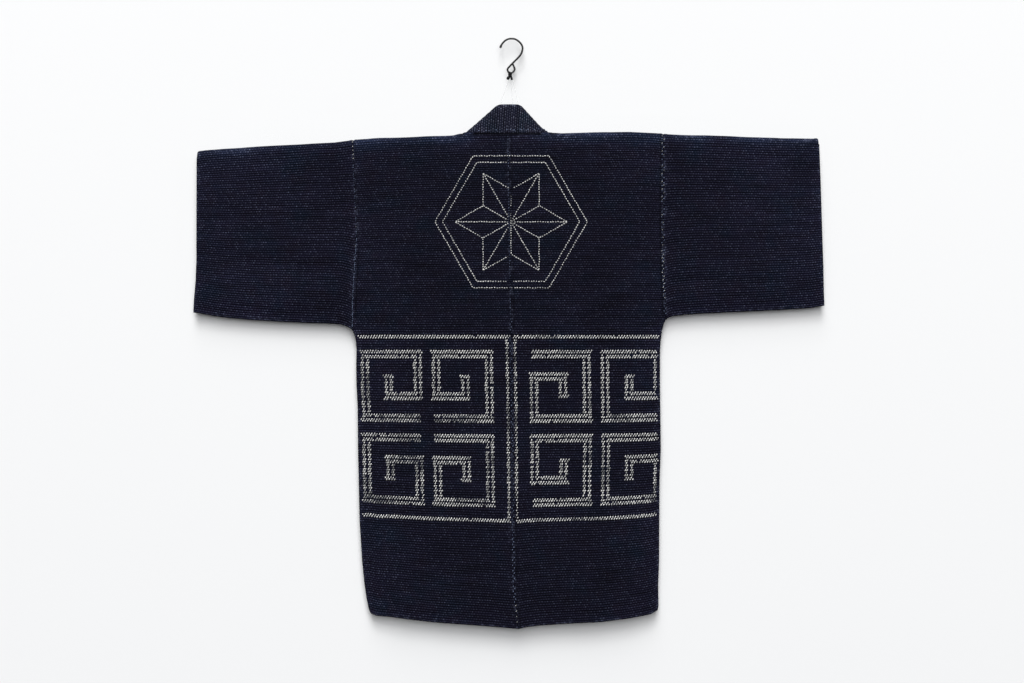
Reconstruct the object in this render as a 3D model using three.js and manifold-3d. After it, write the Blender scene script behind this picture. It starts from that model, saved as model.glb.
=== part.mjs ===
// Japanese fireman's coat of stitched indigo cotton, hung flat for display on a
// bowed rod that runs through both sleeves, with clear threads up to a wire hook.
//
// Millimetres, +Z up. The coat's back faces -Y, its front and the wall are on
// the +Y side, and +X is to the right of someone who looks at the back. The
// wearer's left is therefore on the -X side. The origin is the inside of the
// hook's arch, where it sits on whatever carries it.
//
// Each half of the body is one loom width of cloth: it runs from the back hem,
// up and over the shoulder without a seam, and down to the front hem. A sleeve
// is one piece folded over at the top. The collar is one doubled band that
// stands behind the neck, folds over at both sides and falls down the fronts.
import * as THREE from "three";
import Module from "manifold-3d";

// ---- driving sizes -------------------------------------------------------
const WALL = 3.0; // stitched cotton, several layers
const COLLAR_WALL = 4.0; // the collar band is doubled
const SEAM_GAP = 0.3; // between two pieces at a seam
const NECK_GAP = 1.2; // between the body and the collar's base, where both curve
const FOLD_RADIUS = 11.5; // middle of the cloth where it turns over the rod
const CLOSING = 90; // the layers close towards a sewn edge over this width
const COLLAR_WIDTH = 58.5;
const COLLAR_RADIUS = 11; // middle of the band where it folds to the front
const COLLAR_SLANT = (44.5 * Math.PI) / 180; // of the fold beside the neck
const COLLAR_TURN = 65.5; // centre of the neck to the fold, along the base
const COLLAR_LIFT = 2.4; // the base rises over the rod
const NECK_CENTRE = -7.5; // the neck sits this far off the hook's line
const COLLAR_LEAN = 4; // and its upper edge this much back towards it
const NECK_Z = -189.4; // height of the collar's base behind the neck
const COLLAR_DRAWN = 4.2; // the right side of the collar leans this much further in
const NECK_BLEND = 26; // the shoulder settles into the neck over this width
const LEAN_OUT = 80; // the front band turns straight down over this length
const FRONT_HEM_RISE = 3; // the front hem hangs this much higher
const ROD_RADIUS = 6.2;
const ROD_HALF = 588; // the rod ends inside the sleeves
const ROD_TOP = -196.7; // highest point of the rod's upper side
const ROD_APEX = 240; // and where along X it is
const ROD_BOW = 4.157e-5; // droop, per mm, of the distance from it squared
const WIRE = 3.8; // hook wire diameter
const THREAD = 0.9; // clear thread diameter

// ---- outline, as hung ------------------------------------------------------
// Top line of shoulders and sleeves.
const TOP_LINE = [
  { x: -626, z: -224.4 },
  { x: -611, z: -221.8 },
  { x: -521, z: -215.8 },
  { x: -401, z: -208.4 },
  { x: -351, z: -206.4 },
  { x: -317, z: -201.8 },
  { x: -269, z: -197.8 },
  { x: -161, z: -193.6 },
  { x: -121, z: -192.8 },
  { x: -97, z: -191.6 },
  { x: 83, z: -188.2 },
  { x: 129, z: -186.8 },
  { x: 179, z: -186.0 },
  { x: 239, z: -185.4 },
  { x: 289, z: -187.4 },
  { x: 309, z: -189.8 },
  { x: 379, z: -192.0 },
  { x: 479, z: -195.2 },
  { x: 539, z: -197.2 },
  { x: 617, z: -198.4 },
];
// Sewn lower edge of the left sleeve, from the cuff to the underarm.
const LEFT_UNDER = [
  { x: -636, z: -546.6 },
  { x: -621, z: -549.0 },
  { x: -597, z: -553.4 },
  { x: -571, z: -557.0 },
  { x: -521, z: -561.6 },
  { x: -461, z: -565.2 },
  { x: -401, z: -567.6 },
  { x: -351, z: -569.2 },
  { x: -339, z: -570.8 },
  { x: -329, z: -574.6 },
  { x: -321, z: -579.0 },
  { x: -317, z: -582.8 },
];
// Sewn lower edge of the right sleeve, from the underarm to the cuff.
const RIGHT_UNDER = [
  { x: 309, z: -561.2 },
  { x: 313, z: -558.4 },
  { x: 320, z: -554.8 },
  { x: 339, z: -552.2 },
  { x: 379, z: -548.8 },
  { x: 419, z: -547.2 },
  { x: 479, z: -544.4 },
  { x: 539, z: -541.6 },
  { x: 599, z: -537.6 },
  { x: 627, z: -533.0 },
];
// Left edge of the body: the sleeve seam, then the side seam, then the corner.
const LEFT_SIDE = [
  { z: -195, x: -316.0 },
  { z: -240, x: -314.6 },
  { z: -302, x: -311.2 },
  { z: -386, x: -307.4 },
  { z: -442, x: -311.6 },
  { z: -540, x: -317.0 },
  { z: -582.8, x: -317.0 },
  { z: -592, x: -313.2 },
  { z: -602, x: -310.8 },
  { z: -622, x: -309.2 },
  { z: -652, x: -310.0 },
  { z: -692, x: -309.4 },
  { z: -732, x: -307.0 },
  { z: -812, x: -306.4 },
  { z: -852, x: -305.6 },
  { z: -962, x: -303.2 },
  { z: -1042, x: -298.4 },
  { z: -1092, x: -293.2 },
  { z: -1122, x: -288.6 },
  { z: -1142, x: -284.2 },
  { z: -1150, x: -280.0 },
];
// Right edge of the body.
const RIGHT_SIDE = [
  { z: -185, x: 304.2 },
  { z: -282, x: 304.0 },
  { z: -382, x: 303.4 },
  { z: -462, x: 304.8 },
  { z: -522, x: 308.0 },
  { z: -561.2, x: 309.0 },
  { z: -572, x: 304.8 },
  { z: -584, x: 301.8 },
  { z: -602, x: 299.6 },
  { z: -622, x: 298.0 },
  { z: -682, x: 297.8 },
  { z: -822, x: 299.6 },
  { z: -882, x: 297.0 },
  { z: -1042, x: 296.2 },
  { z: -1092, x: 294.4 },
  { z: -1132, x: 295.0 },
  { z: -1142, x: 293.6 },
];
// Centre back seam.
const CENTRE = [
  { z: -190, x: -5.0 },
  { z: -302, x: -3.6 },
  { z: -402, x: -2.2 },
  { z: -522, x: 0.2 },
  { z: -622, x: 0.2 },
  { z: -722, x: 2.2 },
  { z: -972, x: 4.4 },
  { z: -1102, x: 6.8 },
  { z: -1152, x: 11.6 },
  { z: -1178, x: 14.2 },
];
// Hem.
const HEM = [
  { x: -280, z: -1149.6 },
  { x: -269, z: -1154.0 },
  { x: -241, z: -1155.4 },
  { x: -201, z: -1160.8 },
  { x: -161, z: -1165.4 },
  { x: -121, z: -1168.4 },
  { x: -41, z: -1174.2 },
  { x: -11, z: -1176.8 },
  { x: 14, z: -1179.0 },
  { x: 31, z: -1175.4 },
  { x: 59, z: -1172.0 },
  { x: 119, z: -1168.2 },
  { x: 179, z: -1165.2 },
  { x: 239, z: -1157.8 },
  { x: 279, z: -1150.8 },
  { x: 294, z: -1142.4 },
];
// Open ends of the sleeves.
const LEFT_CUFF = [
  { z: -225, x: -627.2 },
  { z: -242, x: -628.2 },
  { z: -442, x: -628.8 },
  { z: -482, x: -630.2 },
  { z: -522, x: -634.6 },
  { z: -546, x: -636.2 },
];
const RIGHT_CUFF = [
  { z: -198, x: 614.0 },
  { z: -212, x: 615.6 },
  { z: -282, x: 618.2 },
  { z: -402, x: 622.0 },
  { z: -502, x: 625.4 },
  { z: -533, x: 627.4 },
];
// Soft rises (+) and hollows (-) of the hanging cloth: a stretch from x0,z0 to
// x1,z1, as wide and as high as given, on the back or the front layer.
const FOLDS = [
  { layer: "back", x0: -611, z0: -438, x1: -361, z1: -466, wide: 20, high: -2.6 },
  { layer: "back", x0: 323, z0: -490, x1: 600, z1: -484, wide: 17, high: -2.3 },
  { layer: "back", x0: 125, z0: -548, x1: 233, z1: -496, wide: 15, high: 3.0 },
  { layer: "back", x0: -225, z0: -558, x1: -189, z1: -498, wide: 14, high: 2.2 },
  { layer: "back", x0: 99, z0: -262, x1: 179, z1: -352, wide: 26, high: -2.0 },
  { layer: "back", x0: -241, z0: -262, x1: -261, z1: -332, wide: 28, high: -2.2 },
  { layer: "back", x0: 159, z0: -1002, x1: 145, z1: -1150, wide: 30, high: 2.0 },
  { layer: "back", x0: -161, z0: -1010, x1: -176, z1: -1150, wide: 34, high: -2.0 },
  { layer: "back", x0: 250, z0: -700, x1: 236, z1: -900, wide: 30, high: -1.6 },
  { layer: "front", x0: -560, z0: -330, x1: -340, z1: -372, wide: 22, high: -2.4 },
  { layer: "front", x0: 340, z0: -420, x1: 560, z1: -402, wide: 20, high: 2.2 },
  { layer: "front", x0: 150, z0: -300, x1: 205, z1: -470, wide: 24, high: 2.8 },
  { layer: "front", x0: -160, z0: -320, x1: -196, z1: -520, wide: 22, high: 2.4 },
  { layer: "front", x0: 170, z0: -820, x1: 182, z1: -1150, wide: 34, high: -2.4 },
  { layer: "front", x0: -205, z0: -760, x1: -190, z1: -1150, wide: 30, high: 2.6 },
];
// Hook wire, down its middle: along X, up Z, and towards the wall Y.
const HOOK_LINE = [
  { x: -21.8, z: -16.6, y: 0 },
  { x: -18.2, z: -8.8, y: 0 },
  { x: -12.0, z: -2.2, y: 0 },
  { x: -5.2, z: 1.2, y: 0 },
  { x: 0.4, z: 1.9, y: 0 },
  { x: 7.2, z: 1.2, y: 0 },
  { x: 14.0, z: -2.6, y: 0 },
  { x: 19.6, z: -8.2, y: 0 },
  { x: 22.8, z: -15.0, y: 0 },
  { x: 22.4, z: -22.0, y: 0 },
  { x: 20.0, z: -28.8, y: 0 },
  { x: 14.0, z: -36.4, y: 0 },
  { x: 7.2, z: -43.2, y: 0 },
  { x: 2.4, z: -48.0, y: 0 },
  { x: -2.4, z: -53.2, y: 0 },
  { x: -6.2, z: -57.4, y: 0.2 },
  { x: -7.2, z: -60.4, y: 0.6 },
  { x: -5.6, z: -64.6, y: 1.2 },
  { x: -2.4, z: -66.6, y: 2 },
  { x: 3.0, z: -65.2, y: 2.9 },
  { x: 6.8, z: -60.4, y: 3.8 },
  { x: 6.6, z: -56.4, y: 4.2 },
  { x: 4.4, z: -50.8, y: 4.4 },
  { x: 2.8, z: -47.8, y: 4.4 },
];
// Black tie under the hook's eye: rounded lumps, joined.
const KNOT_LUMPS = [
  { x: -2.0, z: -72.6, rx: 2.9, rz: 4.2 },
  { x: -5.4, z: -78.6, rx: 3.4, rz: 3.9 },
  { x: 2.2, z: -79.2, rx: 3.5, rz: 3.8 },
  { x: -1.6, z: -76.6, rx: 3.0, rz: 3.0 },
];
// Clear threads, from the tie to the rod.
const THREADS = [
  { name: "thread_left", top: -5.0, topZ: -82.9, foot: -45.0 },
  { name: "thread_middle", top: 0.2, topZ: -83.1, foot: 7.6 },
  { name: "thread_right", top: 3.2, topZ: -83.4, foot: 31.0 },
];

// ---- rows and columns of the cloth -----------------------------------------
const ARM_ROWS = [0, 0.055, 0.13, 0.24, 0.38, 0.54, 0.7, 0.86, 1]; // up the armhole
const BACK_ROWS = [0, 0.16, 0.34, 0.52, 0.69, 0.83, 0.92, 0.965, 0.985]; // hem to underarm
const FRONT_ROWS = [0, 0.2, 0.42, 0.64, 0.82, 0.93, 0.975]; // and on the front
const FOLD_ROWS = 6; // over the rod
const NECK_COLUMNS = 3; // from the centre to the neck's corner
const SIDE_COLUMNS = [0, 0.055, 0.11, 0.24, 0.44, 0.64, 0.8, 0.92, 1]; // from there to the side
const SLEEVE_COLUMNS = [0, 0.025, 0.065, 0.2, 0.4, 0.6, 0.8, 0.94, 1]; // out to the cuff
const BAND_ROWS = 5; // across the collar
const BAND_BACK = 8; // collar stations, centre of the neck to the turn
const BAND_TURN = 6; // over the turn
const BAND_FRONT = 14; // down the front

// ---- helpers ---------------------------------------------------------------
const mix = (a, b, t) => a + (b - a) * t;
const clamp01 = (t) => Math.min(1, Math.max(0, t));
const smooth = (t) => {
  const s = clamp01(t);
  return s * s * (3 - 2 * s);
};
// Value of column `want` of a table at `at` of column `by`; rows may run up or down.
function look(table, by, at, want) {
  const up = table[0][by] < table[table.length - 1][by];
  const rows = up ? table : [...table].reverse();
  let i = 0;
  while (i < rows.length - 2 && at > rows[i + 1][by]) i++;
  const a = rows[i],
    b = rows[i + 1];
  return mix(a[want], b[want], clamp01((at - a[by]) / (b[by] - a[by])));
}
const topLine = (x) => look(TOP_LINE, "x", x, "z");
const hem = (x) => look(HEM, "x", x, "z");
const centre = (z) => look(CENTRE, "z", z, "x");
const sideOf = { [-1]: LEFT_SIDE, [1]: RIGHT_SIDE };
const underOf = { [-1]: LEFT_UNDER, [1]: RIGHT_UNDER };
const cuffOf = { [-1]: LEFT_CUFF, [1]: RIGHT_CUFF };
const side = (s, z) => look(sideOf[s], "z", z, "x");
const underarm = { [-1]: LEFT_UNDER[LEFT_UNDER.length - 1], [1]: RIGHT_UNDER[0] };
// Height of the line that joins the two underarms.
const underarmLine = (x) =>
  mix(underarm[-1].z, underarm[1].z, clamp01((x - underarm[-1].x) / (underarm[1].x - underarm[-1].x)));

function distanceToSegment(x, z, a, b) {
  const dx = b.x - a.x,
    dz = b.z - a.z;
  const t = clamp01(((x - a.x) * dx + (z - a.z) * dz) / (dx * dx + dz * dz));
  return Math.hypot(x - a.x - t * dx, z - a.z - t * dz);
}
// Every sewn edge where the back and front layers meet: under the sleeves and
// down the sides.
const sewn = [-1, 1].flatMap((s) => {
  const under = underOf[s];
  const down = sideOf[s].filter((r) => r.z <= underarm[s].z);
  const parts = [];
  for (const line of [under, down])
    for (let i = 0; i + 1 < line.length; i++) parts.push([line[i], line[i + 1]]);
  return parts;
});
const toSewn = (x, z) => Math.min(...sewn.map(([a, b]) => distanceToSegment(x, z, a, b)));
// Half the distance between the middles of the two layers.
function halfGap(x, z, layer) {
  const seam = WALL / 2 + SEAM_GAP / 2;
  const open = Math.sin((Math.PI / 2) * clamp01(toSewn(x, z) / CLOSING));
  let rise = 0;
  for (const f of FOLDS)
    if (f.layer === layer) {
      const d = distanceToSegment(x, z, { x: f.x0, z: f.z0 }, { x: f.x1, z: f.z1 });
      rise += f.high * Math.exp(-((d / f.wide) ** 2));
    }
  return seam + (FOLD_RADIUS - seam + rise) * open;
}

// ---- collar ----------------------------------------------------------------
// The band is a flat strip, u along it from the centre of the neck and v up
// from its base, rolled to the front over a slanting line.
const ALONG = { x: Math.cos(COLLAR_SLANT), z: -Math.sin(COLLAR_SLANT) };
const ACROSS = { x: Math.sin(COLLAR_SLANT), z: Math.cos(COLLAR_SLANT) };
const neckCentre = (v) => NECK_CENTRE + (COLLAR_LEAN * v) / COLLAR_WIDTH;
const REFLECTED = Math.PI / 2 - 2 * COLLAR_SLANT; // lean of the front band
const TURN_DROP = Math.PI * COLLAR_RADIUS * (ALONG.x / ACROSS.x) * -ALONG.z;
// How far a front point has to be moved in for the band to hang straight down.
function straighten(z) {
  const t = NECK_Z - TURN_DROP - z;
  if (t <= 0) return 0;
  return Math.tan(REFLECTED) * (t < LEAN_OUT ? (t * t) / (2 * LEAN_OUT) : t - LEAN_OUT / 2);
}
function collarPoint(u, v, radius = COLLAR_RADIUS) {
  const s = u < 0 ? -1 : 1;
  const du = Math.abs(u) - COLLAR_TURN;
  const alpha = du * ALONG.x + v * ALONG.z;
  const d = du * ACROSS.x + v * ACROSS.z;
  let reach, y;
  if (d <= 0) [reach, y] = [d, -radius];
  else if (d < Math.PI * COLLAR_RADIUS) {
    const phi = d / COLLAR_RADIUS;
    [reach, y] = [COLLAR_RADIUS * Math.sin(phi), -radius * Math.cos(phi)];
  } else [reach, y] = [Math.PI * COLLAR_RADIUS - d, radius];
  const lift = d > 0 && d < Math.PI * COLLAR_RADIUS ? COLLAR_LIFT * Math.sin(d / COLLAR_RADIUS) * (1 - clamp01(v / COLLAR_WIDTH)) : 0;
  let x = COLLAR_TURN + alpha * ALONG.x + reach * ACROSS.x;
  const z = NECK_Z + alpha * ALONG.z + reach * ACROSS.z + lift;
  if (d >= Math.PI * COLLAR_RADIUS) x -= straighten(z);
  const up = Math.max(0, z - NECK_Z) / COLLAR_WIDTH;
  if (s > 0) x -= COLLAR_DRAWN * smooth(up / 0.22) * clamp01(u / COLLAR_TURN);
  return new THREE.Vector3(neckCentre(Math.max(0, z - NECK_Z)) + s * x, y, z);
}
// The neck edge of the body follows the collar's base, a gap below it.
const neckEdge = (s, phi) =>
  collarPoint(s * (COLLAR_TURN + (phi * COLLAR_RADIUS + NECK_GAP * ACROSS.z) / ACROSS.x), -NECK_GAP, FOLD_RADIUS);
// Outward direction of the band, and of the body's edge beside it, over the turn.
const turnNormal = (s, phi) =>
  new THREE.Vector3(s * Math.sin(phi) * ACROSS.x, -Math.cos(phi), Math.sin(phi) * ACROSS.z);
// X of the body's front edge at height z.
function frontEdge(s, z) {
  const exit = neckEdge(s, Math.PI);
  const drop = Math.max(0, exit.z - z);
  const leaned = Math.tan(REFLECTED) * drop - straighten(z);
  return exit.x + s * leaned;
}

// ---- thickening a grid of middle points into a closed shell ----------------
function shell(grid, hasCell, wall, flatX, outward) {
  const rows = grid.length,
    columns = grid[0].length;
  const cell = (r, c) => r >= 0 && c >= 0 && r < rows - 1 && c < columns - 1 && hasCell(r, c);
  const used = (r, c) => cell(r, c) || cell(r - 1, c) || cell(r, c - 1) || cell(r - 1, c - 1);
  const normal = (r, c) => {
    const n = new THREE.Vector3();
    for (const [i, j] of [
      [r, c],
      [r - 1, c],
      [r, c - 1],
      [r - 1, c - 1],
    ])
      if (cell(i, j)) {
        const p = grid[i][j],
          q = grid[i][j + 1],
          s = grid[i + 1][j],
          t = grid[i + 1][j + 1];
        const d1 = new THREE.Vector3().subVectors(t, p);
        const d2 = new THREE.Vector3().subVectors(s, q);
        n.add(d1.cross(d2).normalize());
      }
    if (flatX(r, c)) n.x = 0;
    return grid[r][c].out ?? n.normalize().multiplyScalar(outward);
  };
  const index = new Map(),
    position = [];
  for (let r = 0; r < rows; r++)
    for (let c = 0; c < columns; c++)
      if (used(r, c)) {
        const n = normal(r, c);
        index.set(r + "," + c, position.length / 3);
        for (const way of [1, -1]) {
          const p = grid[r][c].clone().addScaledVector(n, (way * wall) / 2);
          position.push(p.x, p.y, p.z);
        }
      }
  const at = (r, c, inner) => index.get(r + "," + c) + inner;
  const faces = [];
  const quad = (a, b, c, d) => {
    const corners = outward > 0 ? [a, b, c, d] : [d, c, b, a];
    faces.push(corners[0], corners[1], corners[2], corners[0], corners[2], corners[3]);
  };
  for (let r = 0; r < rows - 1; r++)
    for (let c = 0; c < columns - 1; c++) {
      if (!cell(r, c)) continue;
      quad(at(r, c, 0), at(r, c + 1, 0), at(r + 1, c + 1, 0), at(r + 1, c, 0));
      quad(at(r + 1, c, 1), at(r + 1, c + 1, 1), at(r, c + 1, 1), at(r, c, 1));
      const edges = [
        [r - 1, c, [r, c + 1], [r, c]],
        [r + 1, c, [r + 1, c], [r + 1, c + 1]],
        [r, c - 1, [r, c], [r + 1, c]],
        [r, c + 1, [r + 1, c + 1], [r, c + 1]],
      ];
      for (const [i, j, a, b] of edges)
        if (!cell(i, j)) quad(at(...a, 0), at(...b, 0), at(...b, 1), at(...a, 1));
    }
  const geometry = new THREE.BufferGeometry();
  geometry.setAttribute("position", new THREE.Float32BufferAttribute(position, 3));
  geometry.setIndex(faces);
  geometry.computeVertexNormals();
  return geometry;
}

// ---- body ------------------------------------------------------------------
// Heights up one layer: fractions from the hem to the underarm, then to the top.
function layerRows(lower) {
  const rows = [];
  for (const g of lower) rows.push({ low: g, high: 0 });
  for (const g of ARM_ROWS) rows.push({ low: 1, high: g });
  return rows;
}
const heightOf = (row, bottom, middle, top) =>
  row.low < 1 ? mix(bottom, middle, row.low) : mix(middle, top, row.high);

function bodyPoint(s, row, column) {
  const neckX = NECK_CENTRE + s * COLLAR_TURN;
  const inNeck = column <= NECK_COLUMNS;
  const f = inNeck ? column / NECK_COLUMNS : SIDE_COLUMNS[column - NECK_COLUMNS];
  const edgeX = (z) => side(s, z) - (s * SEAM_GAP) / 2;
  if (row.layer === "fold") {
    const c = neckEdge(s, row.phi);
    const x = mix(c.x, edgeX(topLine(underarm[s].x)), inNeck ? 0 : f);
    const ridge = topLine(x) - WALL / 2;
    const w = smooth(Math.abs(x - c.x) / NECK_BLEND);
    const p = new THREE.Vector3(
      x,
      mix(c.y, -FOLD_RADIUS * Math.cos(row.phi), w),
      mix(c.z, ridge - FOLD_RADIUS * (1 - Math.sin(row.phi)), w),
    );
    if (inNeck) p.out = turnNormal(s, row.phi);
    return p;
  }
  const front = row.layer === "front";
  let z = mix(-1150, -200, row.low < 1 ? row.low * 0.6 : 0.6 + 0.4 * row.high),
    x = neckX;
  for (let i = 0; i < 12; i++) {
    const inner = front ? frontEdge(s, z) : inNeck ? centre(z) + (s * SEAM_GAP) / 2 : neckX;
    const outer = !front && inNeck ? neckX : edgeX(z);
    x = mix(inner, outer, front && inNeck ? 0 : f);
    const edge = front ? neckEdge(s, Math.PI) : { x: neckX, z: NECK_Z - NECK_GAP };
    const away = !front && inNeck ? 0 : Math.abs(x - (front ? frontEdge(s, edge.z) : neckX));
    const top = mix(edge.z, topLine(x) - WALL / 2 - FOLD_RADIUS, smooth(away / NECK_BLEND));
    const bottom = hem(x) + (front ? FRONT_HEM_RISE : 0);
    z = heightOf(row, bottom, underarmLine(x), top);
  }
  const y = halfGap(x, z, row.layer);
  return new THREE.Vector3(x, front ? y : -y, z);
}
function bodyHalf(s) {
  const rows = [
    ...layerRows(BACK_ROWS).map((r) => ({ ...r, layer: "back" })),
    ...Array.from({ length: FOLD_ROWS - 1 }, (_, k) => ({ layer: "fold", phi: ((k + 1) * Math.PI) / FOLD_ROWS })),
    ...layerRows(FRONT_ROWS)
      .map((r) => ({ ...r, layer: "front" }))
      .reverse(),
  ];
  const columns = NECK_COLUMNS + SIDE_COLUMNS.length;
  const last = rows.findIndex((r) => r.layer === "fold") - 1; // top of the back
  const grid = rows.map((row) => Array.from({ length: columns }, (_, c) => bodyPoint(s, row, c)));
  return shell(
    grid,
    (r, c) => r < last || c >= NECK_COLUMNS,
    WALL,
    (r, c) => c === 0 || c === columns - 1,
    s,
  );
}

// ---- sleeve ----------------------------------------------------------------
function sleevePoint(s, row, column) {
  const f = SLEEVE_COLUMNS[column];
  const inner = (z) => side(s, z) + (s * SEAM_GAP) / 2;
  const outer = (z) => look(cuffOf[s], "z", z, "x");
  if (row.layer === "fold") {
    const z = topLine(underarm[s].x);
    const x = mix(inner(z), outer(topLine(s * 626)), f);
    const ridge = topLine(x) - WALL / 2;
    return new THREE.Vector3(
      x,
      -FOLD_RADIUS * Math.cos(row.phi),
      ridge - FOLD_RADIUS * (1 - Math.sin(row.phi)),
    );
  }
  let z = mix(-560, -210, row.high),
    x = 0;
  for (let i = 0; i < 12; i++) {
    x = mix(inner(z), outer(z), f);
    const bottom = f === 0 ? underarmLine(x) : look(underOf[s], "x", x, "z");
    z = mix(bottom, topLine(x) - WALL / 2 - FOLD_RADIUS, row.high);
  }
  const y = halfGap(x, z, row.layer);
  return new THREE.Vector3(x, row.layer === "front" ? y : -y, z);
}
function sleeve(s) {
  const up = ARM_ROWS.map((high) => ({ high }));
  const rows = [
    ...up.map((r) => ({ ...r, layer: "back" })),
    ...Array.from({ length: FOLD_ROWS - 1 }, (_, k) => ({ layer: "fold", phi: ((k + 1) * Math.PI) / FOLD_ROWS })),
    ...up.map((r) => ({ ...r, layer: "front" })).reverse(),
  ];
  const grid = rows.map((row) => SLEEVE_COLUMNS.map((_, c) => sleevePoint(s, row, c)));
  return shell(
    grid,
    () => true,
    WALL,
    (r, c) => c === 0,
    s,
  );
}

// ---- collar band -----------------------------------------------------------
function collarBand() {
  const half = [];
  for (let k = 1; k <= BAND_BACK; k++) half.push({ u: (COLLAR_TURN * k) / BAND_BACK, front: 0 });
  const turn = (Math.PI * COLLAR_RADIUS) / ACROSS.x;
  for (let k = 1; k <= BAND_TURN; k++) half.push({ u: COLLAR_TURN + (turn * k) / BAND_TURN, front: 0 });
  const exit = COLLAR_TURN + turn;
  const fall = (s) => NECK_Z - TURN_DROP - (hem(NECK_CENTRE + s * 80) + FRONT_HEM_RISE);
  for (let k = 1; k <= BAND_FRONT; k++) half.push({ u: exit, front: k / BAND_FRONT });
  const stations = [
    ...half.map((h) => ({ ...h, s: -1 })).reverse(),
    { u: 0, front: 0, s: 1 },
    ...half.map((h) => ({ ...h, s: 1 })),
  ];
  const grid = stations.map((st) =>
    Array.from({ length: BAND_ROWS + 1 }, (_, k) => {
      const v = (COLLAR_WIDTH * k) / BAND_ROWS;
      const u = st.u + (st.front * (fall(st.s) - v * Math.sin(REFLECTED))) / Math.cos(REFLECTED);
      return collarPoint(st.s * u, v);
    }),
  );
  return shell(
    grid,
    () => true,
    COLLAR_WALL,
    () => false,
    1,
  );
}

// ---- rod, hook, threads and tie ---------------------------------------------
const disc = (radius, sides) => {
  const shape = new THREE.Shape();
  for (let k = 0; k < sides; k++) {
    const a = (2 * Math.PI * (k + 0.5)) / sides;
    shape[k ? "lineTo" : "moveTo"](radius * Math.cos(a), radius * Math.sin(a));
  }
  shape.closePath();
  return shape;
};
const tube = (points, radius, sides, steps) =>
  new THREE.ExtrudeGeometry(disc(radius, sides), {
    steps,
    bevelEnabled: false,
    extrudePath: new THREE.CatmullRomCurve3(points),
  });
const rodTop = (x) => ROD_TOP - ROD_BOW * (x - ROD_APEX) ** 2;
const rodPoints = Array.from({ length: 13 }, (_, k) => {
  const x = mix(-ROD_HALF, ROD_HALF - 6, k / 12);
  return new THREE.Vector3(x, 0, rodTop(x) - ROD_RADIUS);
});
const hookPoints = HOOK_LINE.map((p) => new THREE.Vector3(p.x, p.y, p.z));

const wasm = await Module();
wasm.setup();
const { mergeVertices } = await import("three/addons/utils/BufferGeometryUtils.js");
function solid(geometry) {
  const g = geometry.clone();
  g.deleteAttribute("normal");
  g.deleteAttribute("uv");
  const m = mergeVertices(g, 1e-4);
  return new wasm.Manifold(
    new wasm.Mesh({
      numProp: 3,
      vertProperties: Float32Array.from(m.attributes.position.array),
      triVerts: Uint32Array.from(m.index.array),
    }),
  );
}
function fromSolid(made) {
  const mesh = made.getMesh();
  const g = new THREE.BufferGeometry();
  g.setAttribute("position", new THREE.Float32BufferAttribute(mesh.vertProperties, 3));
  g.setIndex([...mesh.triVerts]);
  g.computeVertexNormals();
  return g;
}
// The tie: rounded lumps in one, hollowed where the hook's eye passes.
let tie = null;
for (const lump of KNOT_LUMPS) {
  const g = new THREE.SphereGeometry(1, 12, 8).scale(lump.rx, 2.6, lump.rz).translate(lump.x, 1.6, lump.z);
  tie = tie ? tie.add(solid(g)) : solid(g);
}
tie = tie.subtract(solid(tube(hookPoints.slice(14, 22), WIRE / 2 + SEAM_GAP, 8, 40)));

// ---- the scene graph ---------------------------------------------------------
const indigo = new THREE.MeshStandardMaterial({ color: 0x191a26, roughness: 0.9, metalness: 0 });
const collarCloth = new THREE.MeshStandardMaterial({ color: 0x20222f, roughness: 0.88, metalness: 0 });
const bamboo = new THREE.MeshStandardMaterial({ color: 0xb08d57, roughness: 0.55, metalness: 0 });
const blackWire = new THREE.MeshStandardMaterial({ color: 0x0c0c0e, roughness: 0.35, metalness: 0.6 });
const tieCord = new THREE.MeshStandardMaterial({ color: 0x101013, roughness: 0.8, metalness: 0 });
const clearLine = new THREE.MeshStandardMaterial({ color: 0xe6eaec, roughness: 0.15, metalness: 0 });

const coat = new THREE.Group();
const add = (name, geometry, material) => {
  const mesh = new THREE.Mesh(geometry, material);
  mesh.name = name;
  coat.add(mesh);
};
add("body_left", bodyHalf(-1), indigo);
add("body_right", bodyHalf(1), indigo);
add("sleeve_left", sleeve(-1), indigo);
add("sleeve_right", sleeve(1), indigo);
add("collar", collarBand(), collarCloth);
add("rod", tube(rodPoints, ROD_RADIUS, 12, 24), bamboo);
add("hook", tube(hookPoints, WIRE / 2, 8, 72), blackWire);
add("knot", fromSolid(tie), tieCord);
for (const t of THREADS)
  add(
    t.name,
    tube(
      [
        new THREE.Vector3(t.top, 1.6, t.topZ),
        new THREE.Vector3(mix(t.top, t.foot, 0.5), 0.8, mix(t.topZ, rodTop(t.foot) + SEAM_GAP, 0.5)),
        new THREE.Vector3(t.foot, 0, rodTop(t.foot) + SEAM_GAP),
      ],
      THREAD / 2,
      6,
      3,
    ),
    clearLine,
  );

export default coat;
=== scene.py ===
"""Looks of a Japanese fireman's coat, hung on a rod through its sleeves under a wire hook.

Metres, in the row frame: the coat's back faces -Y, the wall is on +Y, +Z is up, and the origin is the inside of the hook's arch. The tables are in millimetres and are those of the part's own source.
"""

import math

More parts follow.
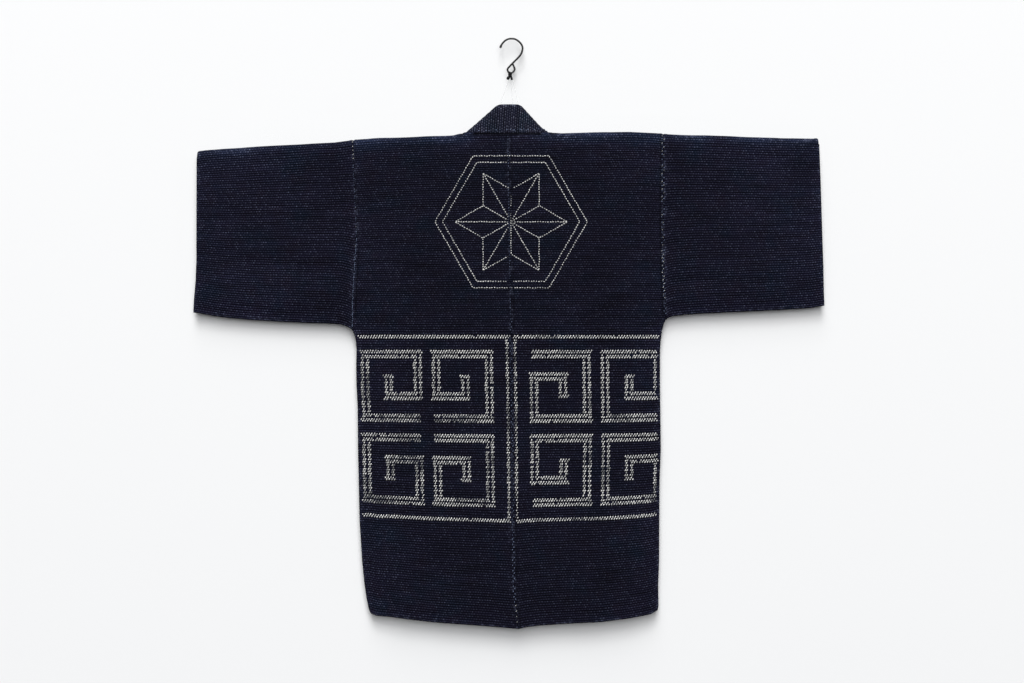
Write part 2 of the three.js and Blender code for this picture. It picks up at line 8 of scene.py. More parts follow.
import bpy
import numpy as np
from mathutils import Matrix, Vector


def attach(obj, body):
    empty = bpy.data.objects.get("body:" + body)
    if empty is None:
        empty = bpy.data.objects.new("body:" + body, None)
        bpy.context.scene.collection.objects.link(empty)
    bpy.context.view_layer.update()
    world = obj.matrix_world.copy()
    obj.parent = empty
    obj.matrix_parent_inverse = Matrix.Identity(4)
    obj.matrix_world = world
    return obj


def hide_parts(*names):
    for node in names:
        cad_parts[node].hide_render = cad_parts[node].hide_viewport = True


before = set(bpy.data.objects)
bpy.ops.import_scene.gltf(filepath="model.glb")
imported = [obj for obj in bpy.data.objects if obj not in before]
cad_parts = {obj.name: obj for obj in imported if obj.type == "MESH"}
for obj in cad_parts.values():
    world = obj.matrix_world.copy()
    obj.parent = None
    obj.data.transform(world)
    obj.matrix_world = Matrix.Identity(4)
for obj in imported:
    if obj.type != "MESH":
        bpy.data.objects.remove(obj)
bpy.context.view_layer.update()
MM = 0.001

# ---------------------------------------------------------------- sizes, mm
WALL = 3.0
COLLAR_WALL = 4.0
SEAM_GAP = 0.3
SHUT = 0.2  # sewn edges meet, each this far over its seam's line
NECK_GAP = -0.4
FOLD_RADIUS = 11.5
CLOSING = 90.0
COLLAR_WIDTH = 58.5
COLLAR_RADIUS = 11.0
COLLAR_SLANT = math.radians(44.5)
COLLAR_TURN = 65.5
COLLAR_LIFT = 2.4
NECK_CENTRE = -7.5
COLLAR_LEAN = 4.0
NECK_Z = -189.4
COLLAR_DRAWN = 4.2
NECK_BLEND = 26.0
LEAN_OUT = 80.0
FRONT_HEM_RISE = 3.0
ROD_RADIUS = 6.2
ROD_HALF = 588.0
ROD_TOP = -196.7
ROD_APEX = 240.0
ROD_BOW = 4.157e-5

STITCH = 5.3  # along a row of running stitch
RIB = 4.5  # from row to row, as sewn

TOP_LINE = [(-626, -224.4), (-611, -221.8), (-521, -215.8), (-401, -208.4), (-351, -206.4), (-317, -201.8), (-269, -197.8), (-161, -193.6), (-121, -192.8), (-97, -191.6), (83, -188.2), (129, -186.8), (179, -186.0), (239, -185.4), (289, -187.4), (309, -189.8), (379, -192.0), (479, -195.2), (539, -197.2), (617, -198.4)]
LEFT_UNDER = [(-636, -546.6), (-621, -549.0), (-597, -553.4), (-571, -557.0), (-521, -561.6), (-461, -565.2), (-401, -567.6), (-351, -569.2), (-339, -570.8), (-329, -574.6), (-321, -579.0), (-317, -582.8)]
RIGHT_UNDER = [(309, -561.2), (313, -558.4), (320, -554.8), (339, -552.2), (379, -548.8), (419, -547.2), (479, -544.4), (539, -541.6), (599, -537.6), (627, -533.0)]
# x by z, downwards
LEFT_SIDE = [(-195, -316.0), (-240, -314.6), (-302, -311.2), (-386, -307.4), (-442, -311.6), (-540, -317.0), (-582.8, -317.0), (-592, -313.2), (-602, -310.8), (-622, -309.2), (-652, -310.0), (-692, -309.4), (-732, -307.0), (-812, -306.4), (-852, -305.6), (-962, -303.2), (-1042, -298.4), (-1092, -293.2), (-1122, -288.6), (-1142, -284.2), (-1150, -280.0)]
RIGHT_SIDE = [(-185, 304.2), (-282, 304.0), (-382, 303.4), (-462, 304.8), (-522, 308.0), (-561.2, 309.0), (-572, 304.8), (-584, 301.8), (-602, 299.6), (-622, 298.0), (-682, 297.8), (-822, 299.6), (-882, 297.0), (-1042, 296.2), (-1092, 294.4), (-1132, 295.0), (-1142, 293.6)]
CENTRE = [(-190, -5.0), (-302, -3.6), (-402, -2.2), (-522, 0.2), (-622, 0.2), (-722, 2.2), (-972, 4.4), (-1102, 6.8), (-1152, 11.6), (-1178, 14.2)]
HEM = [(-280, -1149.6), (-269, -1154.0), (-241, -1155.4), (-201, -1160.8), (-161, -1165.4), (-121, -1168.4), (-41, -1174.2), (-11, -1176.8), (14, -1179.0), (31, -1175.4), (59, -1172.0), (119, -1168.2), (179, -1165.2), (239, -1157.8), (279, -1150.8), (294, -1142.4)]
LEFT_CUFF = [(-225, -627.2), (-242, -628.2), (-442, -628.8), (-482, -630.2), (-522, -634.6), (-546, -636.2)]
RIGHT_CUFF = [(-198, 614.0), (-212, 615.6), (-282, 618.2), (-402, 622.0), (-502, 625.4), (-533, 627.4)]
# layer (0 back, 1 front), x0, z0, x1, z1, wide, high
FOLDS = [(0, -611, -438, -361, -466, 20, -2.6), (0, 323, -490, 600, -484, 17, -2.3), (0, 125, -548, 233, -496, 15, 3.0), (0, -225, -558, -189, -498, 14, 2.2), (0, 99, -262, 179, -352, 26, -2.0), (0, -241, -262, -261, -332, 28, -2.2), (0, 159, -1002, 145, -1150, 30, 2.0), (0, -161, -1010, -176, -1150, 34, -2.0), (0, 250, -700, 236, -900, 30, -1.6), (1, -560, -330, -340, -372, 22, -2.4), (1, 340, -420, 560, -402, 20, 2.2), (1, 150, -300, 205, -470, 24, 2.8), (1, -160, -320, -196, -520, 22, 2.4), (1, 170, -820, 182, -1150, 34, -2.4), (1, -205, -760, -190, -1150, 30, 2.6)]
HOOK_LINE = [(-21.8, 0, -16.6), (-18.2, 0, -8.8), (-12.0, 0, -2.2), (-5.2, 0, 1.2), (0.4, 0, 1.9), (7.2, 0, 1.2), (14.0, 0, -2.6), (19.6, 0, -8.2), (22.8, 0, -15.0), (22.4, 0, -22.0), (20.0, 0, -28.8), (14.0, 0, -36.4), (7.2, 0, -43.2), (2.4, 0, -48.0), (-2.4, 0, -53.2), (-6.2, 0.2, -57.4), (-7.2, 0.6, -60.4), (-5.6, 1.2, -64.6), (-2.4, 2.0, -66.6), (3.0, 2.9, -65.2), (6.8, 3.8, -60.4), (6.6, 4.2, -56.4), (4.4, 4.4, -50.8), (2.8, 4.4, -47.8)]
THREADS = [("thread_left", -5.0, -82.9, -45.0), ("thread_middle", 0.2, -83.1, 7.6), ("thread_right", 3.2, -83.4, 31.0)]

UNDERARM = {-1: LEFT_UNDER[-1], 1: RIGHT_UNDER[0]}
HEM_MIDDLE = -1178.0
LEVEL_ROW = -571.0  # the row of stitching that runs level, at the underarms


# ---------------------------------------------------------------- form
def look(table, at):
    """Second column of a table at a value of its first, which runs up or down."""
    t = np.array(sorted(table), float)
    return np.interp(at, t[:, 0], t[:, 1])


def smooth(t):
    t = np.clip(t, 0, 1)
    return t * t * (3 - 2 * t)


def top_line(x):
    return look(TOP_LINE, x)


def hem_line(x):
    return look(HEM, x)


def lower_row(x, t, rise=0.0):
    """Height of a row of stitching between the hem (t 0) and the underarms (t 1): the hem's bow fades out upwards."""
    bow = hem_line(x) - HEM_MIDDLE
    return HEM_MIDDLE + (LEVEL_ROW - HEM_MIDDLE) * t + (bow + rise) * (1 - t) ** 2


def side_line(s, z):
    return look(LEFT_SIDE if s < 0 else RIGHT_SIDE, z)


def underarm_line(x):
    (xl, zl), (xr, zr) = UNDERARM[-1], UNDERARM[1]
    return zl + (zr - zl) * np.clip((x - xl) / (xr - xl), 0, 1)


def to_segment(x, z, x0, z0, x1, z1):
    dx, dz = x1 - x0, z1 - z0
    t = np.clip(((x - x0) * dx + (z - z0) * dz) / (dx * dx + dz * dz), 0, 1)
    return np.hypot(x - x0 - t * dx, z - z0 - t * dz)


SEWN = []
for s_, under_, side_ in ((-1, LEFT_UNDER, LEFT_SIDE), (1, RIGHT_UNDER, RIGHT_SIDE)):
    down_ = [(x, z) for z, x in side_ if z <= UNDERARM[s_][1]]
    for line_ in (under_, down_):
        SEWN += [(*a, *b) for a, b in zip(line_, line_[1:])]


def to_sewn(x, z):
    """Distance to the sewn edges where back and front meet."""
    d = np.full(np.shape(x), 1e9)
    for seg in SEWN:
        d = np.minimum(d, to_segment(x, z, *seg))
    return d


def half_gap(x, z, layer):
    """Half the distance between the middles of the two layers."""
    seam = WALL / 2 + SEAM_GAP / 2
    open_ = np.sin(np.pi / 2 * np.clip(to_sewn(x, z) / CLOSING, 0, 1))
    rise = np.zeros(np.shape(x))
    for lay, x0, z0, x1, z1, wide, high in FOLDS:
        if lay == layer:
            rise = rise + high * np.exp(-((to_segment(x, z, x0, z0, x1, z1) / wide) ** 2))
    return seam + (FOLD_RADIUS - seam + rise) * open_


AX, AZ = math.cos(COLLAR_SLANT), -math.sin(COLLAR_SLANT)
CX, CZ = math.sin(COLLAR_SLANT), math.cos(COLLAR_SLANT)
REFLECTED = math.pi / 2 - 2 * COLLAR_SLANT
TURN_DROP = math.pi * COLLAR_RADIUS * (AX / CX) * -AZ


def straighten(z):
    t = np.maximum(0, NECK_Z - TURN_DROP - z)
    return math.tan(REFLECTED) * np.where(t < LEAN_OUT, t * t / (2 * LEAN_OUT), t - LEAN_OUT / 2)


def collar_point(u, v, radius=COLLAR_RADIUS):
    """The band's middle surface: u along it from the centre of the neck, v up from its base."""
    u, v = np.broadcast_arrays(np.asarray(u, float), np.asarray(v, float))
    s = np.where(u < 0, -1.0, 1.0)
    du = np.abs(u) - COLLAR_TURN
    alpha, d = du * AX + v * AZ, du * CX + v * CZ
    phi = np.clip(d / COLLAR_RADIUS, 0, np.pi)
    turned = d >= np.pi * COLLAR_RADIUS
    reach = np.where(d <= 0, d, np.where(turned, np.pi * COLLAR_RADIUS - d, COLLAR_RADIUS * np.sin(phi)))
    y = -radius * np.cos(phi)
    lift = COLLAR_LIFT * np.sin(phi) * (1 - np.clip(v / COLLAR_WIDTH, 0, 1))
    x = COLLAR_TURN + alpha * AX + reach * CX
    z = NECK_Z + alpha * AZ + reach * CZ + lift
    x = np.where(turned, x - straighten(z), x)
    up = np.maximum(0, z - NECK_Z) / COLLAR_WIDTH
    x = x - np.where(s > 0, COLLAR_DRAWN * smooth(up / 0.22) * np.clip(u / COLLAR_TURN, 0, 1), 0)
    centre = NECK_CENTRE + COLLAR_LEAN * up
    return np.stack([centre + s * x, y, z], -1)


def neck_edge(s, phi):
    return collar_point(s * (COLLAR_TURN + (phi * COLLAR_RADIUS + NECK_GAP * CZ) / CX), -NECK_GAP, FOLD_RADIUS)


def front_edge(s, z):
    exit_ = neck_edge(s, math.pi)
    drop = np.maximum(0, exit_[2] - z)
    return exit_[0] + s * (math.tan(REFLECTED) * drop - straighten(z))


def rod_top(x):
    return ROD_TOP - ROD_BOW * (x - ROD_APEX) ** 2


# ---------------------------------------------------------------- small noise, seeded by its own whole numbers
def hash01(i, j, k=0):
    h = (np.asarray(i, np.int64) * 374761393 + np.asarray(j, np.int64) * 668265263 + int(k) * 2147483647) & 0xFFFFFFFF
    h = ((h ^ (h >> 13)) * 1274126177) & 0xFFFFFFFF
    return ((h ^ (h >> 16)) & 0xFFFFFF) / float(0xFFFFFF)


def noise(x, y, k=0):
    """Smooth noise from -1 to 1, with a knot at each whole number."""
    i, j = np.floor(x), np.floor(y)
    fx, fy = smooth(x - i), smooth(y - j)
    a, b = hash01(i, j, k), hash01(i + 1, j, k)
    c, d = hash01(i, j + 1, k), hash01(i + 1, j + 1, k)
    return 2 * ((a + (b - a) * fx) * (1 - fy) + (c + (d - c) * fx) * fy) - 1


# ---------------------------------------------------------------- meshes
def add_mesh(name, co, faces, uv=None, values=None, sharp=False):
    """co in mm, faces a list or array of index tuples; uv in metres and values, {name: array}, are by vertex."""
    mesh = bpy.data.meshes.new(name)
    mesh.from_pydata((np.asarray(co) * MM).tolist(), [], [tuple(f) for f in faces])
    mesh.update()
    mesh.polygons.foreach_set("use_smooth", np.ones(len(mesh.polygons), bool))
    if uv is not None:
        at = np.zeros(len(mesh.loops), np.int32)
        mesh.loops.foreach_get("vertex_index", at)
        layer = mesh.uv_layers.new(name="grain")
        layer.data.foreach_set("uv", np.asarray(uv, np.float32)[at].ravel())
    for key, value in (values or {}).items():
        a = mesh.attributes.new(key, "FLOAT", "POINT")
        a.data.foreach_set("value", np.asarray(value, np.float32))
    obj = bpy.data.objects.new(name, mesh)
    bpy.context.scene.collection.objects.link(obj)
    return obj


def normals_of(P, present, outward):
    """Unit normals of a grid of points, from the cells that are there."""
    R, C, _ = P.shape
    d1 = P[1:, 1:] - P[:-1, :-1]
    d2 = P[1:, :-1] - P[:-1, 1:]
    n = np.cross(d1, d2)
    n /= np.maximum(1e-9, np.linalg.norm(n, axis=-1, keepdims=True))
    n = n * present[..., None]
    N = np.zeros_like(P)
    N[:-1, :-1] += n
    N[1:, :-1] += n
    N[:-1, 1:] += n
    N[1:, 1:] += n
    return outward * N / np.maximum(1e-9, np.linalg.norm(N, axis=-1, keepdims=True))


def shell(name, P, present, N, out, inn, uv, values, flip):
    """Closed shell: the middle grid P moved out by `out` and in by `inn` along N."""
    R, C, _ = P.shape
    used = np.zeros((R, C), bool)
    for a in (slice(None, -1), slice(1, None)):
        for b in (slice(None, -1), slice(1, None)):
            used[a, b] |= present
    idx = np.full((R, C), -1, np.int64)
    idx[used] = np.arange(used.sum())
    n = int(used.sum())
    co = np.concatenate([(P + N * out[..., None])[used], (P - N * inn[..., None])[used]])
    r, c = np.nonzero(present)
    a, b, d, e = idx[r, c], idx[r, c + 1], idx[r + 1, c + 1], idx[r + 1, c]
    outer = np.stack([a, b, d, e], 1)
    inner = np.stack([e, d, b, a], 1) + n
    padded = np.zeros((R + 1, C + 1), bool)
    padded[1:-1, 1:-1] = present
    rims = []
    for dr, dc, (pa, pb) in (
        (-1, 0, ((0, 1), (0, 0))),
        (1, 0, ((1, 0), (1, 1))),
        (0, -1, ((0, 0), (1, 0))),
        (0, 1, ((1, 1), (0, 1))),
    ):
        edge = present & ~padded[1 + dr : R + dr, 1 + dc : C + dc]
        er, ec = np.nonzero(edge)
        i, j = idx[er + pa[0], ec + pa[1]], idx[er + pb[0], ec + pb[1]]
        rims.append(np.stack([i, j, j + n, i + n], 1))
    faces = np.concatenate([outer, inner, *rims])
    if flip:
        faces = faces[:, ::-1]
    tell = {k: np.concatenate([v[used], v[used]]) for k, v in values.items()}
    return add_mesh(name, co, faces, np.concatenate([uv[used], uv[used]]) * MM, tell)


# ---------------------------------------------------------------- rows of running stitch
PER_RIB = 3
LOWER_RIBS, UPPER_RIBS, OVER_RIBS = 122, 82, 8
PROFILE = np.array([-0.34, 0.16, 0.18])  # relief over one row: hollow, ridge, ridge


def strip_rows(lower, upper, over, fine_hem):
    """Rows of a strip that goes up the back, over the rod and down the front: layer 0, 1 (over) or 2, and the fractions."""
    rows = []
    if lower:
        if fine_hem:
            rows += [(0, 0.0, 0, 0, 0.0), (0, 0.0006, 0, 0, 0.06), (0, 0.0018, 0, 0, 0.2)]
            rows += [(0, k / (PER_RIB * lower), 0, 0, k / PER_RIB) for k in range(2, PER_RIB * lower)]
        rows += [(0, 1, k / (PER_RIB * upper), 0, lower + k / PER_RIB) for k in range(0, PER_RIB * upper + 1)]
    else:
        rows += [(0, 1, k / (PER_RIB * upper), 0, k / PER_RIB) for k in range(0, PER_RIB * upper + 1)]
    at = lower + upper
    rows += [(1, 1, 1, math.pi * k / (PER_RIB * over), at + k / PER_RIB) for k in range(1, PER_RIB * over)]
    back = [r for r in rows if r[0] == 0]
    end = 2 * at + over
    rows += [(2, r[1], r[2], 0, end - r[4]) for r in reversed(back)]
    return np.array(rows, float)


def edge_columns(start, stop, fine_start, fine_stop, step):
    """Distances from start to stop, closer together at the named ends."""
    near = [0, 0.35, 1.0, 2.2, 3.8, 6.0, 9.0, 14.0]
    length = stop - start
    a = [n for n in near] if fine_start else [0]
    b = [n for n in near] if fine_stop else [0]
    mid = np.linspace(a[-1], length - b[-1], max(2, int(round((length - a[-1] - b[-1]) / step)) + 1))[1:-1]
    return np.array(a + list(mid) + [length - n for n in reversed(b)]) / length


def relief(rib, x, amount=1.0):
    """Height of the rows of stitching at rib number `rib` (a third is one sample) and place x."""
    at = (rib * PER_RIB) % PER_RIB
    row = np.floor(rib + 1e-6)
    lively = 1 + 0.35 * noise(x / 23.0 + row * 7.31, row * 0.5, 5) + 0.25 * noise(x / 6.0, row, 6)
    return amount * np.interp(at, np.arange(PER_RIB + 1), [*PROFILE, PROFILE[0]]) * lively


def pucker(x, v, k):
    """Slow unevenness of cloth that has been quilted by hand and worn."""
    return 0.55 * noise(x / 70.0, v / 55.0, k) + 0.3 * noise(x / 26.0, v / 22.0, k + 1) + 0.1 * noise(x / 9.0, v / 8.0, k + 2)


def body_half(s):
    rows = strip_rows(LOWER_RIBS, UPPER_RIBS, OVER_RIBS, True)
    layer, low, high, phi, rib = rows.T
    fa = edge_columns(0, COLLAR_TURN, True, False, 12.0)
    fb = edge_columns(0, 240.0, True, True, 14.0)
    f = np.concatenate([fa[:-1], fb])
    in_neck = np.concatenate([np.ones(len(fa) - 1, bool), np.zeros(len(fb), bool)])
    na = len(fa) - 1
    R, C = len(rows), len(f)
    X, Y, Z = np.zeros((R, C)), np.zeros((R, C)), np.zeros((R, C))
    more = np.zeros((R, C))  # rows of stitching gained where the cloth reaches up to the neck
    neck_x = NECK_CENTRE + s * COLLAR_TURN

    def edge_x(z):
        return side_line(s, z) + s * SHUT

    for lay in (0, 2):
        at = np.nonzero(layer == lay)[0]
        lo, hi = low[at][:, None], high[at][:, None]
        z = np.where(lo < 1, -1150 + 570 * lo, -580 + 380 * hi) + np.zeros((len(at), C))
        F = f[None, :] + np.zeros_like(z)
        neck = in_neck[None, :] & np.ones_like(z, bool)
        corner = neck_edge(s, math.pi)
        for _ in range(14):
            if lay == 2:
                inner, outer, frac = front_edge(s, z), edge_x(z), np.where(neck, 0, F)
            else:
                inner = np.where(neck, look(CENTRE, z) - s * SHUT, neck_x)
                outer, frac = np.where(neck, neck_x, edge_x(z)), F
            x = inner + (outer - inner) * frac
            if lay == 2:
                away, start = np.abs(x - front_edge(s, corner[2])), corner[2]
            else:
                away, start = np.where(neck, 0, np.abs(x - neck_x)), NECK_Z - NECK_GAP
            top = top_line(x) - WALL / 2 - FOLD_RADIUS
            # only the uppermost rows bend up or down to the neck
            bend = (start - top) * (1 - smooth(away / NECK_BLEND)) * smooth((hi - 0.88) / 0.12)
            z = np.where(lo < 1, lower_row(x, lo, FRONT_HEM_RISE if lay == 2 else 0.0), LEVEL_ROW + (top - LEVEL_ROW) * hi + bend)
        y = half_gap(x, z, 0 if lay == 0 else 1)
        X[at], Y[at], Z[at] = x, (-y if lay == 0 else y), z
        more[at] = (1 if lay == 0 else -1) * np.where(lo < 1, 0, bend * UPPER_RIBS / (top - LEVEL_ROW))
    at = np.nonzero(layer == 1)[0]
    p = phi[at][:, None]
    more[at] = more[at[0] - 1] + (more[at[-1] + 1] - more[at[0] - 1]) * p / math.pi
    c = neck_edge(s, phi[at])
    cx, cy, cz = (c[:, k][:, None] for k in range(3))
    frac = np.where(in_neck, 0, f)[None, :]
    x = cx + (edge_x(top_line(UNDERARM[s][0])) - cx) * frac
    ridge = top_line(x) - WALL / 2
    w = smooth(np.abs(x - cx) / NECK_BLEND)
    X[at] = x
    Y[at] = cy + (-FOLD_RADIUS * np.cos(p) - cy) * w
    Z[at] = cz + (ridge - FOLD_RADIUS * (1 - np.sin(p)) - cz) * w
    P = np.stack([X, Y, Z], -1)
    last = int(np.nonzero(layer == 0)[0][-1])
    present = np.ones((R - 1, C - 1), bool)
    present[last:, :na] = False
    RIBS = rib[:, None] + more
    # distances from the edges, for the seam ridges, the rounded, worn rims and the painted shade along the seams
    from_centre = np.where(layer[:, None] == 0, np.abs(X - look(CENTRE, Z)), np.abs(X - front_edge(s, Z)))
    from_side = np.abs(X - side_line(s, Z))
    from_hem = Z - (hem_line(X) + np.where(layer[:, None] == 2, FRONT_HEM_RISE, 0))
    from_neck = np.where(layer[:, None] == 0, np.hypot(np.maximum(0, np.abs(X - NECK_CENTRE) - COLLAR_TURN), NECK_Z - Z), from_centre)
    return finish_cloth("body_left" if s < 0 else "body_right", P, present, s, X, RIBS, [from_centre, from_side, from_hem], [1.0, 0.8, 0.5], 11 if s < 0 else 12, from_neck)


def sleeve(s):
    upper = 72 if s < 0 else 71
    rows = strip_rows(0, upper, OVER_RIBS, False)
    layer, _, high, phi, rib = rows.T
    f = edge_columns(0, 310.0, True, True, 12.0)
    R, C = len(rows), len(f)
    cuff, under = (LEFT_CUFF, LEFT_UNDER) if s < 0 else (RIGHT_CUFF, RIGHT_UNDER)
    X, Y, Z = np.zeros((R, C)), np.zeros((R, C)), np.zeros((R, C))
    for lay in (0, 2):
        at = np.nonzero(layer == lay)[0]
        hi = high[at][:, None]
        z = -560 + 350 * hi + np.zeros((len(at), C))
        for _ in range(14):
            inner, outer = side_line(s, z) - s * SHUT, look(cuff, z)
            x = inner + (outer - inner) * f[None, :]
            bottom = np.where(f[None, :] == 0, underarm_line(x), look(under, x))
            z = bottom + (top_line(x) - WALL / 2 - FOLD_RADIUS - bottom) * hi
        y = half_gap(x, z, 0 if lay == 0 else 1)
        X[at], Y[at], Z[at] = x, (-y if lay == 0 else y), z
    at = np.nonzero(layer == 1)[0]
    p = phi[at][:, None]
    zt = top_line(UNDERARM[s][0])
    inner, outer = side_line(s, zt) - s * SHUT, look(cuff, top_line(s * 626))
    x = inner + (outer - inner) * f[None, :] + np.zeros((len(at), C))
    X[at] = x
    Y[at] = -FOLD_RADIUS * np.cos(p)
    Z[at] = top_line(x) - WALL / 2 - FOLD_RADIUS * (1 - np.sin(p))
    P = np.stack([X, Y, Z], -1)
    present = np.ones((R - 1, C - 1), bool)
    RIBS = rib[:, None] + np.zeros((R, C))
    from_arm = np.abs(X - side_line(s, Z))
    from_cuff = np.abs(X - look(cuff, Z))
    from_under = np.where(layer[:, None] == 1, 300.0, Z - look(under, X))
    return finish_cloth("sleeve_left" if s < 0 else "sleeve_right", P, present, s, X, RIBS, [from_arm, from_cuff, from_under], [0.8, 0.6, 0.6], 13 if s < 0 else 14)


def finish_cloth(name, P, present, s, X, rib, edges, ridges, seed, from_neck=None):
    """Adds the rows of stitching, the seam ridges and the rims to a piece's middle surface, and makes its shell."""
    N = normals_of(P, present, s)
    row = np.floor(rib)
    # hand-sewn rows wander a little up and down
    drift = 0.45 * noise(X / 55.0, row * 0.31, seed) + 0.25 * noise(X / 17.0, row * 0.77, seed + 1)
    near = np.minimum.reduce([np.abs(e) for e in edges])
    drift *= smooth(near / 15.0)
    along = np.gradient(P, axis=0)
    along /= np.maximum(1e-9, np.linalg.norm(along, axis=-1, keepdims=True))
    P = P + along * drift[..., None]
    ridge = sum(k * np.exp(-(((e - 4.2) / 2.8) ** 2)) - 0.45 * k * np.exp(-((e / 1.5) ** 2)) for e, k in zip(edges, ridges))
    height = relief(rib, X) + ridge + pucker(X, rib * RIB, seed) * smooth(near / 12.0)
    rim = np.clip(near / 1.4, 0, 1)
    half = (WALL / 2) * (0.35 + 0.65 * np.sqrt(1 - (1 - rim) ** 2))
    out = half + height * smooth(near / 2.0 + 0.25)
    inn = half - (ridge * 0.6 + pucker(X, rib * RIB, seed) * smooth(near / 12.0)) + 0.7 * relief(rib + 1.0 / 3, X)
    uv = np.stack([X - s * 40.0, rib * RIB], -1)
    wear = np.exp(-near / 5.0)
    # seam: dark seam lines along every edge and seam, with painted shade in them
    seam = np.exp(-((near / 1.6) ** 2))
    # a painted contact shadow along the foot of the collar
    if from_neck is not None:
        seam = np.maximum(seam, 1.4 * np.exp(-((from_neck / 3.4) ** 2)))
    if from_neck is not None:
        # a shadowed fold beside the sleeve seams and the centre back seam
        arm = smooth((P[..., 2] - LEVEL_ROW) / 30.0)
        low = smooth((-400.0 - P[..., 2]) / 60.0)
        place, deep = (4.9, 1.2) if s > 0 else (4.2 + 2.0 * low, 0.6 + 0.5 * low)
        seam = np.maximum(seam, deep * arm * np.exp(-(((edges[1] - place) / 2.0) ** 2)))
        seam = np.maximum(seam, (0.85 if s > 0 else 0.6) * np.exp(-(((edges[0] - 4.8) / 2.0) ** 2)))
    # rubbed wear and a painted highlight in stretches where the cloth turns up over the shoulders to the light
    from_top = top_line(X) - P[..., 2]
    rubbed = np.clip(0.5 + 0.8 * noise(X / 60.0, X * 0, seed + 5) + 0.3 * noise(X / 17.0, rib / 3.0, seed + 6), 0, 1)
    wear = np.maximum(wear, 0.85 * rubbed * np.exp(-((from_top / 11.0) ** 2)))
    # lighter towards the sleeve ends and the sides; along the shoulders a painted highlight with rubbed wear, weaker
    # under the collar
    if from_neck is not None:
        shade = 0.79 + 0.13 * smooth((np.abs(X) - 170.0) / 110.0)
    else:
        shade = 0.90 + 0.24 * smooth((np.abs(X) - 320.0) / 280.0)
    outer = 1 - 0.85 * np.exp(-(((X - NECK_CENTRE) / 78.0) ** 2))
    edge, painted_slope_highlight = (0.75 + 0.6 * rubbed, 0.34) if from_neck is not None else ((0.30 + 0.5 * rubbed) * (1 - 0.6 * smooth((np.abs(X) - 350.0) / 200.0)), 0.08)
    shade = shade * (1 + outer * (edge * np.exp(-((from_top / 19.0) ** 2)) + painted_slope_highlight * np.exp(-((from_top / 50.0) ** 2))))
    return shell(name + "_cloth", P, present, N, out, inn, uv, {"wear": wear, "seam": seam, "shade": shade}, s < 0)


def collar_cloth():
    turn = math.pi * COLLAR_RADIUS / CX
    exit_ = COLLAR_TURN + turn
    fine = RIB / PER_RIB
    half = [k * fine for k in range(1, int(exit_ / fine) + 1)]
    v = np.array([0, 0.4, 1.5, 3.6, 6.5, 11, 18, 26, 34, 42, 50, 54.5, 57, 58.1, COLLAR_WIDTH])
    fall = {s: NECK_Z - TURN_DROP - (hem_line(NECK_CENTRE + s * 80) + FRONT_HEM_RISE) for s in (-1, 1)}
    lanes = []
    for s in (-1, 1):
        end = exit_ + (fall[s] - v * math.sin(REFLECTED)) / math.cos(REFLECTED)
        rest = int((end.min() - half[-1]) / fine)
        us = [np.full(len(v), h) for h in half]
        for k in range(1, rest + 1):
            us.append(half[-1] + (end - half[-1]) * (k / rest))
        us.insert(-1, us[-1] - 0.5)
        lanes.append(np.array([s * u for u in us]))
    U = np.concatenate([lanes[0][::-1], np.zeros((1, len(v))), lanes[1]])
    n_left = len(lanes[0])
    number = np.concatenate([-np.arange(1, n_left + 1)[::-1], [0], np.arange(1, len(lanes[1]) + 1)])
    rib = (number[:, None] + PER_RIB * 1000) / PER_RIB + np.zeros_like(U)
    P = collar_point(U, v[None, :])
    present = np.ones((len(U) - 1, len(v) - 1), bool)
    N = normals_of(P, present, 1)
    V = v[None, :] + np.zeros_like(U)
    near = np.minimum(V, COLLAR_WIDTH - V)
    lively = relief(rib, V * 1.7 + 900, 1.15)
    rim = np.clip(near / 2.2, 0, 1)
    half_w = (COLLAR_WALL / 2) * (0.30 + 0.70 * np.sqrt(1 - (1 - rim) ** 2))
    soft = 0.5 * pucker(U, V, 31)
    out = half_w + (lively + soft) * smooth(near / 2.5 + 0.2)
    inn = half_w - soft * smooth(near / 6)
    uv = np.stack([V + 500.0, rib * RIB], -1)
    wear = np.exp(-near / 4.0)
    # seam: a painted contact shadow along the foot of the collar
    return shell("collar_cloth", P, present, N, out, inn, uv, {"wear": wear * smooth(V / 5.0), "seam": 1.3 * np.exp(-((V / 1.9) ** 2)), "shade": np.ones_like(V)}, False)


# ---------------------------------------------------------------- materials
def new_material(name):
    m = bpy.data.materials.new(name)
    m.use_nodes = True
    m.node_tree.nodes.clear()
    return m, m.node_tree


class Nodes:
    """Short hand for making and joining shader nodes."""

    def __init__(self, tree):
        self.tree = tree

    def add(self, kind, **props):
        n = self.tree.nodes.new("ShaderNode" + kind)
        for k, v in props.items():
            setattr(n, k, v)
        return n

    def put(self, socket, value):
        if isinstance(value, bpy.types.NodeSocket):
            self.tree.links.new(value, socket)
        else:
            socket.default_value = value

    def math(self, op, a, b=0.0, c=0.0, clamp=False):
        n = self.add("Math", operation=op, use_clamp=clamp)
        for sock, v in zip(n.inputs, (a, b, c)):
            self.put(sock, v)
        return n.outputs[0]

    def mix(self, t, a, b):
        n = self.add("Mix", data_type="RGBA")
        self.put(n.inputs[0], t)
        self.put(n.inputs[6], a)
        self.put(n.inputs[7], b)
        return n.outputs[2]

    def ramp(self, t, low, high, to_low=0.0, to_high=1.0, soft=True):
        n = self.add("MapRange", interpolation_type="SMOOTHSTEP" if soft else "LINEAR")
        for sock, v in zip(n.inputs, (t, low, high, to_low, to_high)):
            self.put(sock, v)
        return n.outputs[0]

    def noise(self, vector, scale, detail=2.0, rough=0.5):
        n = self.add("TexNoise")
        self.put(n.inputs["Vector"], vector)
        n.inputs["Scale"].default_value = scale
        n.inputs["Detail"].default_value = detail
        n.inputs["Roughness"].default_value = rough
        return n.outputs["Fac"]

    def combine(self, x, y, z=0.0):
        n = self.add("CombineXYZ")
        for sock, v in zip(n.inputs, (x, y, z)):
            self.put(sock, v)
        return n.outputs[0]


